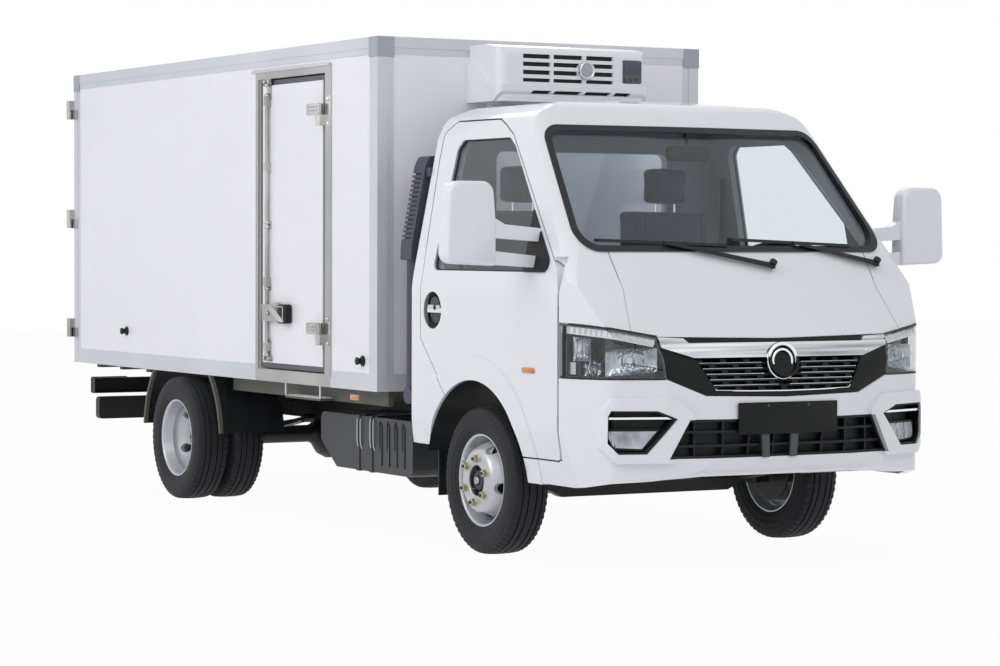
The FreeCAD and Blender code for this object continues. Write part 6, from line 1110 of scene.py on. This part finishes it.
# Rippled liners over the front wheels; their inner edge hangs lower and their rim meets the panels
LINER_RADIUS, LINER_RIM, LINER_RIPPLE, LINER_DROP = 448, 451, 4, 26
for s, side in SIDES:
    arch = []
    for i in range(33):
        angle = math.radians(8 + 158 * i / 32)
        radius = LINER_RADIUS + LINER_RIPPLE * math.sin(angle * 14)
        across = ((600, radius, LINER_DROP), (640, radius, 0), (858, radius, 0), (878, radius, 0),
                  (907, LINER_RIM, 0))
        arch.append([(s * x, FRONT_AXLE_Y - r * math.cos(angle), AXLE_Z + r * math.sin(angle) - drop)
                     for x, r, drop in across])
    build(f"arch_liner_{side}", "chassis", "inner_plastic", BLACK_MOULDING, [surface(arch)], crease=50)

# Back: lamps in their trays, reflectors and a blank plate
GUARD_FACE_Y = 2803
for s, side in SIDES:
    x0, x1 = sorted((s * 630, s * 862))
    build(f"lamp_tray_{side}", "chassis", "inner_plastic", BLACK_MOULDING,
          [prism(rounded((x0, 512), (x1, 610), 12), "y", 2866, 2884)], edge=3)
    for near, far, finish, name in ((640, 716, RED_ACRYLIC, "stop"), (718, 784, AMBER_ACRYLIC, "turn"),
                                    (786, 852, CLEAR_ACRYLIC, "reverse")):
        x0, x1 = sorted((s * near, s * far))
        build(f"{name}_lens_{side}", "chassis", "lamp_glass", finish,
              [prism(rounded((x0 + 1, 522), (x1 - 1, 600), 6), "y", 2880, 2900)], edge=4)
build("rear_reflectors", "chassis", "lamp_glass", RED_ACRYLIC,
      [turned([(0, 0), (0, 31), (6, 31), (8, 27), (9, 0)], (x, GUARD_FACE_Y, 431), (0, 1, 0), 32, False)
       for x in (-700, 700)], crease=50)
build("rear_plate", "chassis", "rail_aluminium", GREY_MOULDING,
      [prism(rounded((-260, 376), (260, 486), 8), "y", GUARD_FACE_Y, GUARD_FACE_Y + 6)], edge=1)


# Camera at the photograph's place and angle: metres, and turns in radians

CAMERA_PLACE = Vector((-7.3075, -13.4424, 1.4077))
CAMERA_TURN = math.radians(-29.519)
CAMERA_RISE = math.radians(1.7475)
CAMERA_ROLL = math.radians(0.1819)
FOCAL_MM = 105.25
back = Vector((math.sin(CAMERA_TURN) * math.cos(CAMERA_RISE), -math.cos(CAMERA_TURN) * math.cos(CAMERA_RISE),
               math.sin(CAMERA_RISE)))
right = Vector((0, 0, 1)).cross(back).normalized()
up = back.cross(right)
across = right * math.cos(CAMERA_ROLL) + up * math.sin(CAMERA_ROLL)
above = up * math.cos(CAMERA_ROLL) - right * math.sin(CAMERA_ROLL)
lens = bpy.data.cameras.new("camera")
lens.lens = FOCAL_MM
lens.sensor_width = 36
lens.clip_end = 200
camera = bpy.data.objects.new("camera", lens)
bpy.context.scene.collection.objects.link(camera)
camera.matrix_world = Matrix((
    (across.x, above.x, back.x, CAMERA_PLACE.x), (across.y, above.y, back.y, CAMERA_PLACE.y),
    (across.z, above.z, back.z, CAMERA_PLACE.z), (0, 0, 0, 1)))
bpy.context.scene.camera = camera


def shown_white(tree):
    """Rays that find the floor and the surround white: from the camera, from gloss and through glass"""
    rays = add(tree, "ShaderNodeLightPath")
    seen = add(tree, "ShaderNodeMath", {0: rays.outputs["Is Camera Ray"], 1: rays.outputs["Is Glossy Ray"]},
               operation="MAXIMUM")
    return add(tree, "ShaderNodeMath", {0: seen.outputs[0], 1: rays.outputs["Is Transmission Ray"]},
               operation="MAXIMUM").outputs[0]


def studio():
    """Pale floor, soft lamps and a white surround"""
    bpy.ops.mesh.primitive_plane_add(size=60, location=(0, 0, 0))
    floor = bpy.context.object
    floor.name = "floor"
    material, tree = blank("pale floor")
    share = add(tree, "ShaderNodeMapRange", {"Value": shown_white(tree)}, To_Max=FLOOR_WHITE)
    matte = add(tree, "ShaderNodeBsdfDiffuse", Color=linear("F4F4F6"))
    white = add(tree, "ShaderNodeEmission", Color=linear("FFFFFF"), Strength=1.0)
    mix = add(tree, "ShaderNodeMixShader", {0: share.outputs["Result"]})
    tree.links.new(matte.outputs[0], mix.inputs[1])
    tree.links.new(white.outputs[0], mix.inputs[2])
    add(tree, "ShaderNodeOutputMaterial", {"Surface": mix.outputs[0]})
    floor.data.materials.append(material)
    world = bpy.data.worlds.new("studio")
    bpy.context.scene.world = world
    world.use_nodes = True
    tree = world.node_tree
    tree.nodes.clear()
    light = add(tree, "ShaderNodeBackground", Color=linear("F4F6FA"), Strength=0.6)
    white = add(tree, "ShaderNodeBackground", Color=linear("FFFFFF"), Strength=1.0)
    mix = add(tree, "ShaderNodeMixShader", {0: shown_white(tree)})
    tree.links.new(light.outputs[0], mix.inputs[1])
    tree.links.new(white.outputs[0], mix.inputs[2])
    add(tree, "ShaderNodeOutputWorld", {"Surface": mix.outputs[0]})
    for name, place, power in (("key lamp", (-10, -2, 6.5), 330), ("front lamp", (-2, -10, 8), 150),
                               ("back lamp", (3, 9, 6), 160)):
        lamp = bpy.data.lights.new(name, "AREA")
        lamp.size = 6
        lamp.energy = power
        thing = bpy.data.objects.new(name, lamp)
        bpy.context.scene.collection.objects.link(thing)
        thing.location = place
        thing.rotation_euler = (Vector((0, 0, 1)) - Vector(place)).to_track_quat("-Z", "Y").to_euler()


studio()
bpy.context.scene.view_settings.view_transform = "Standard"
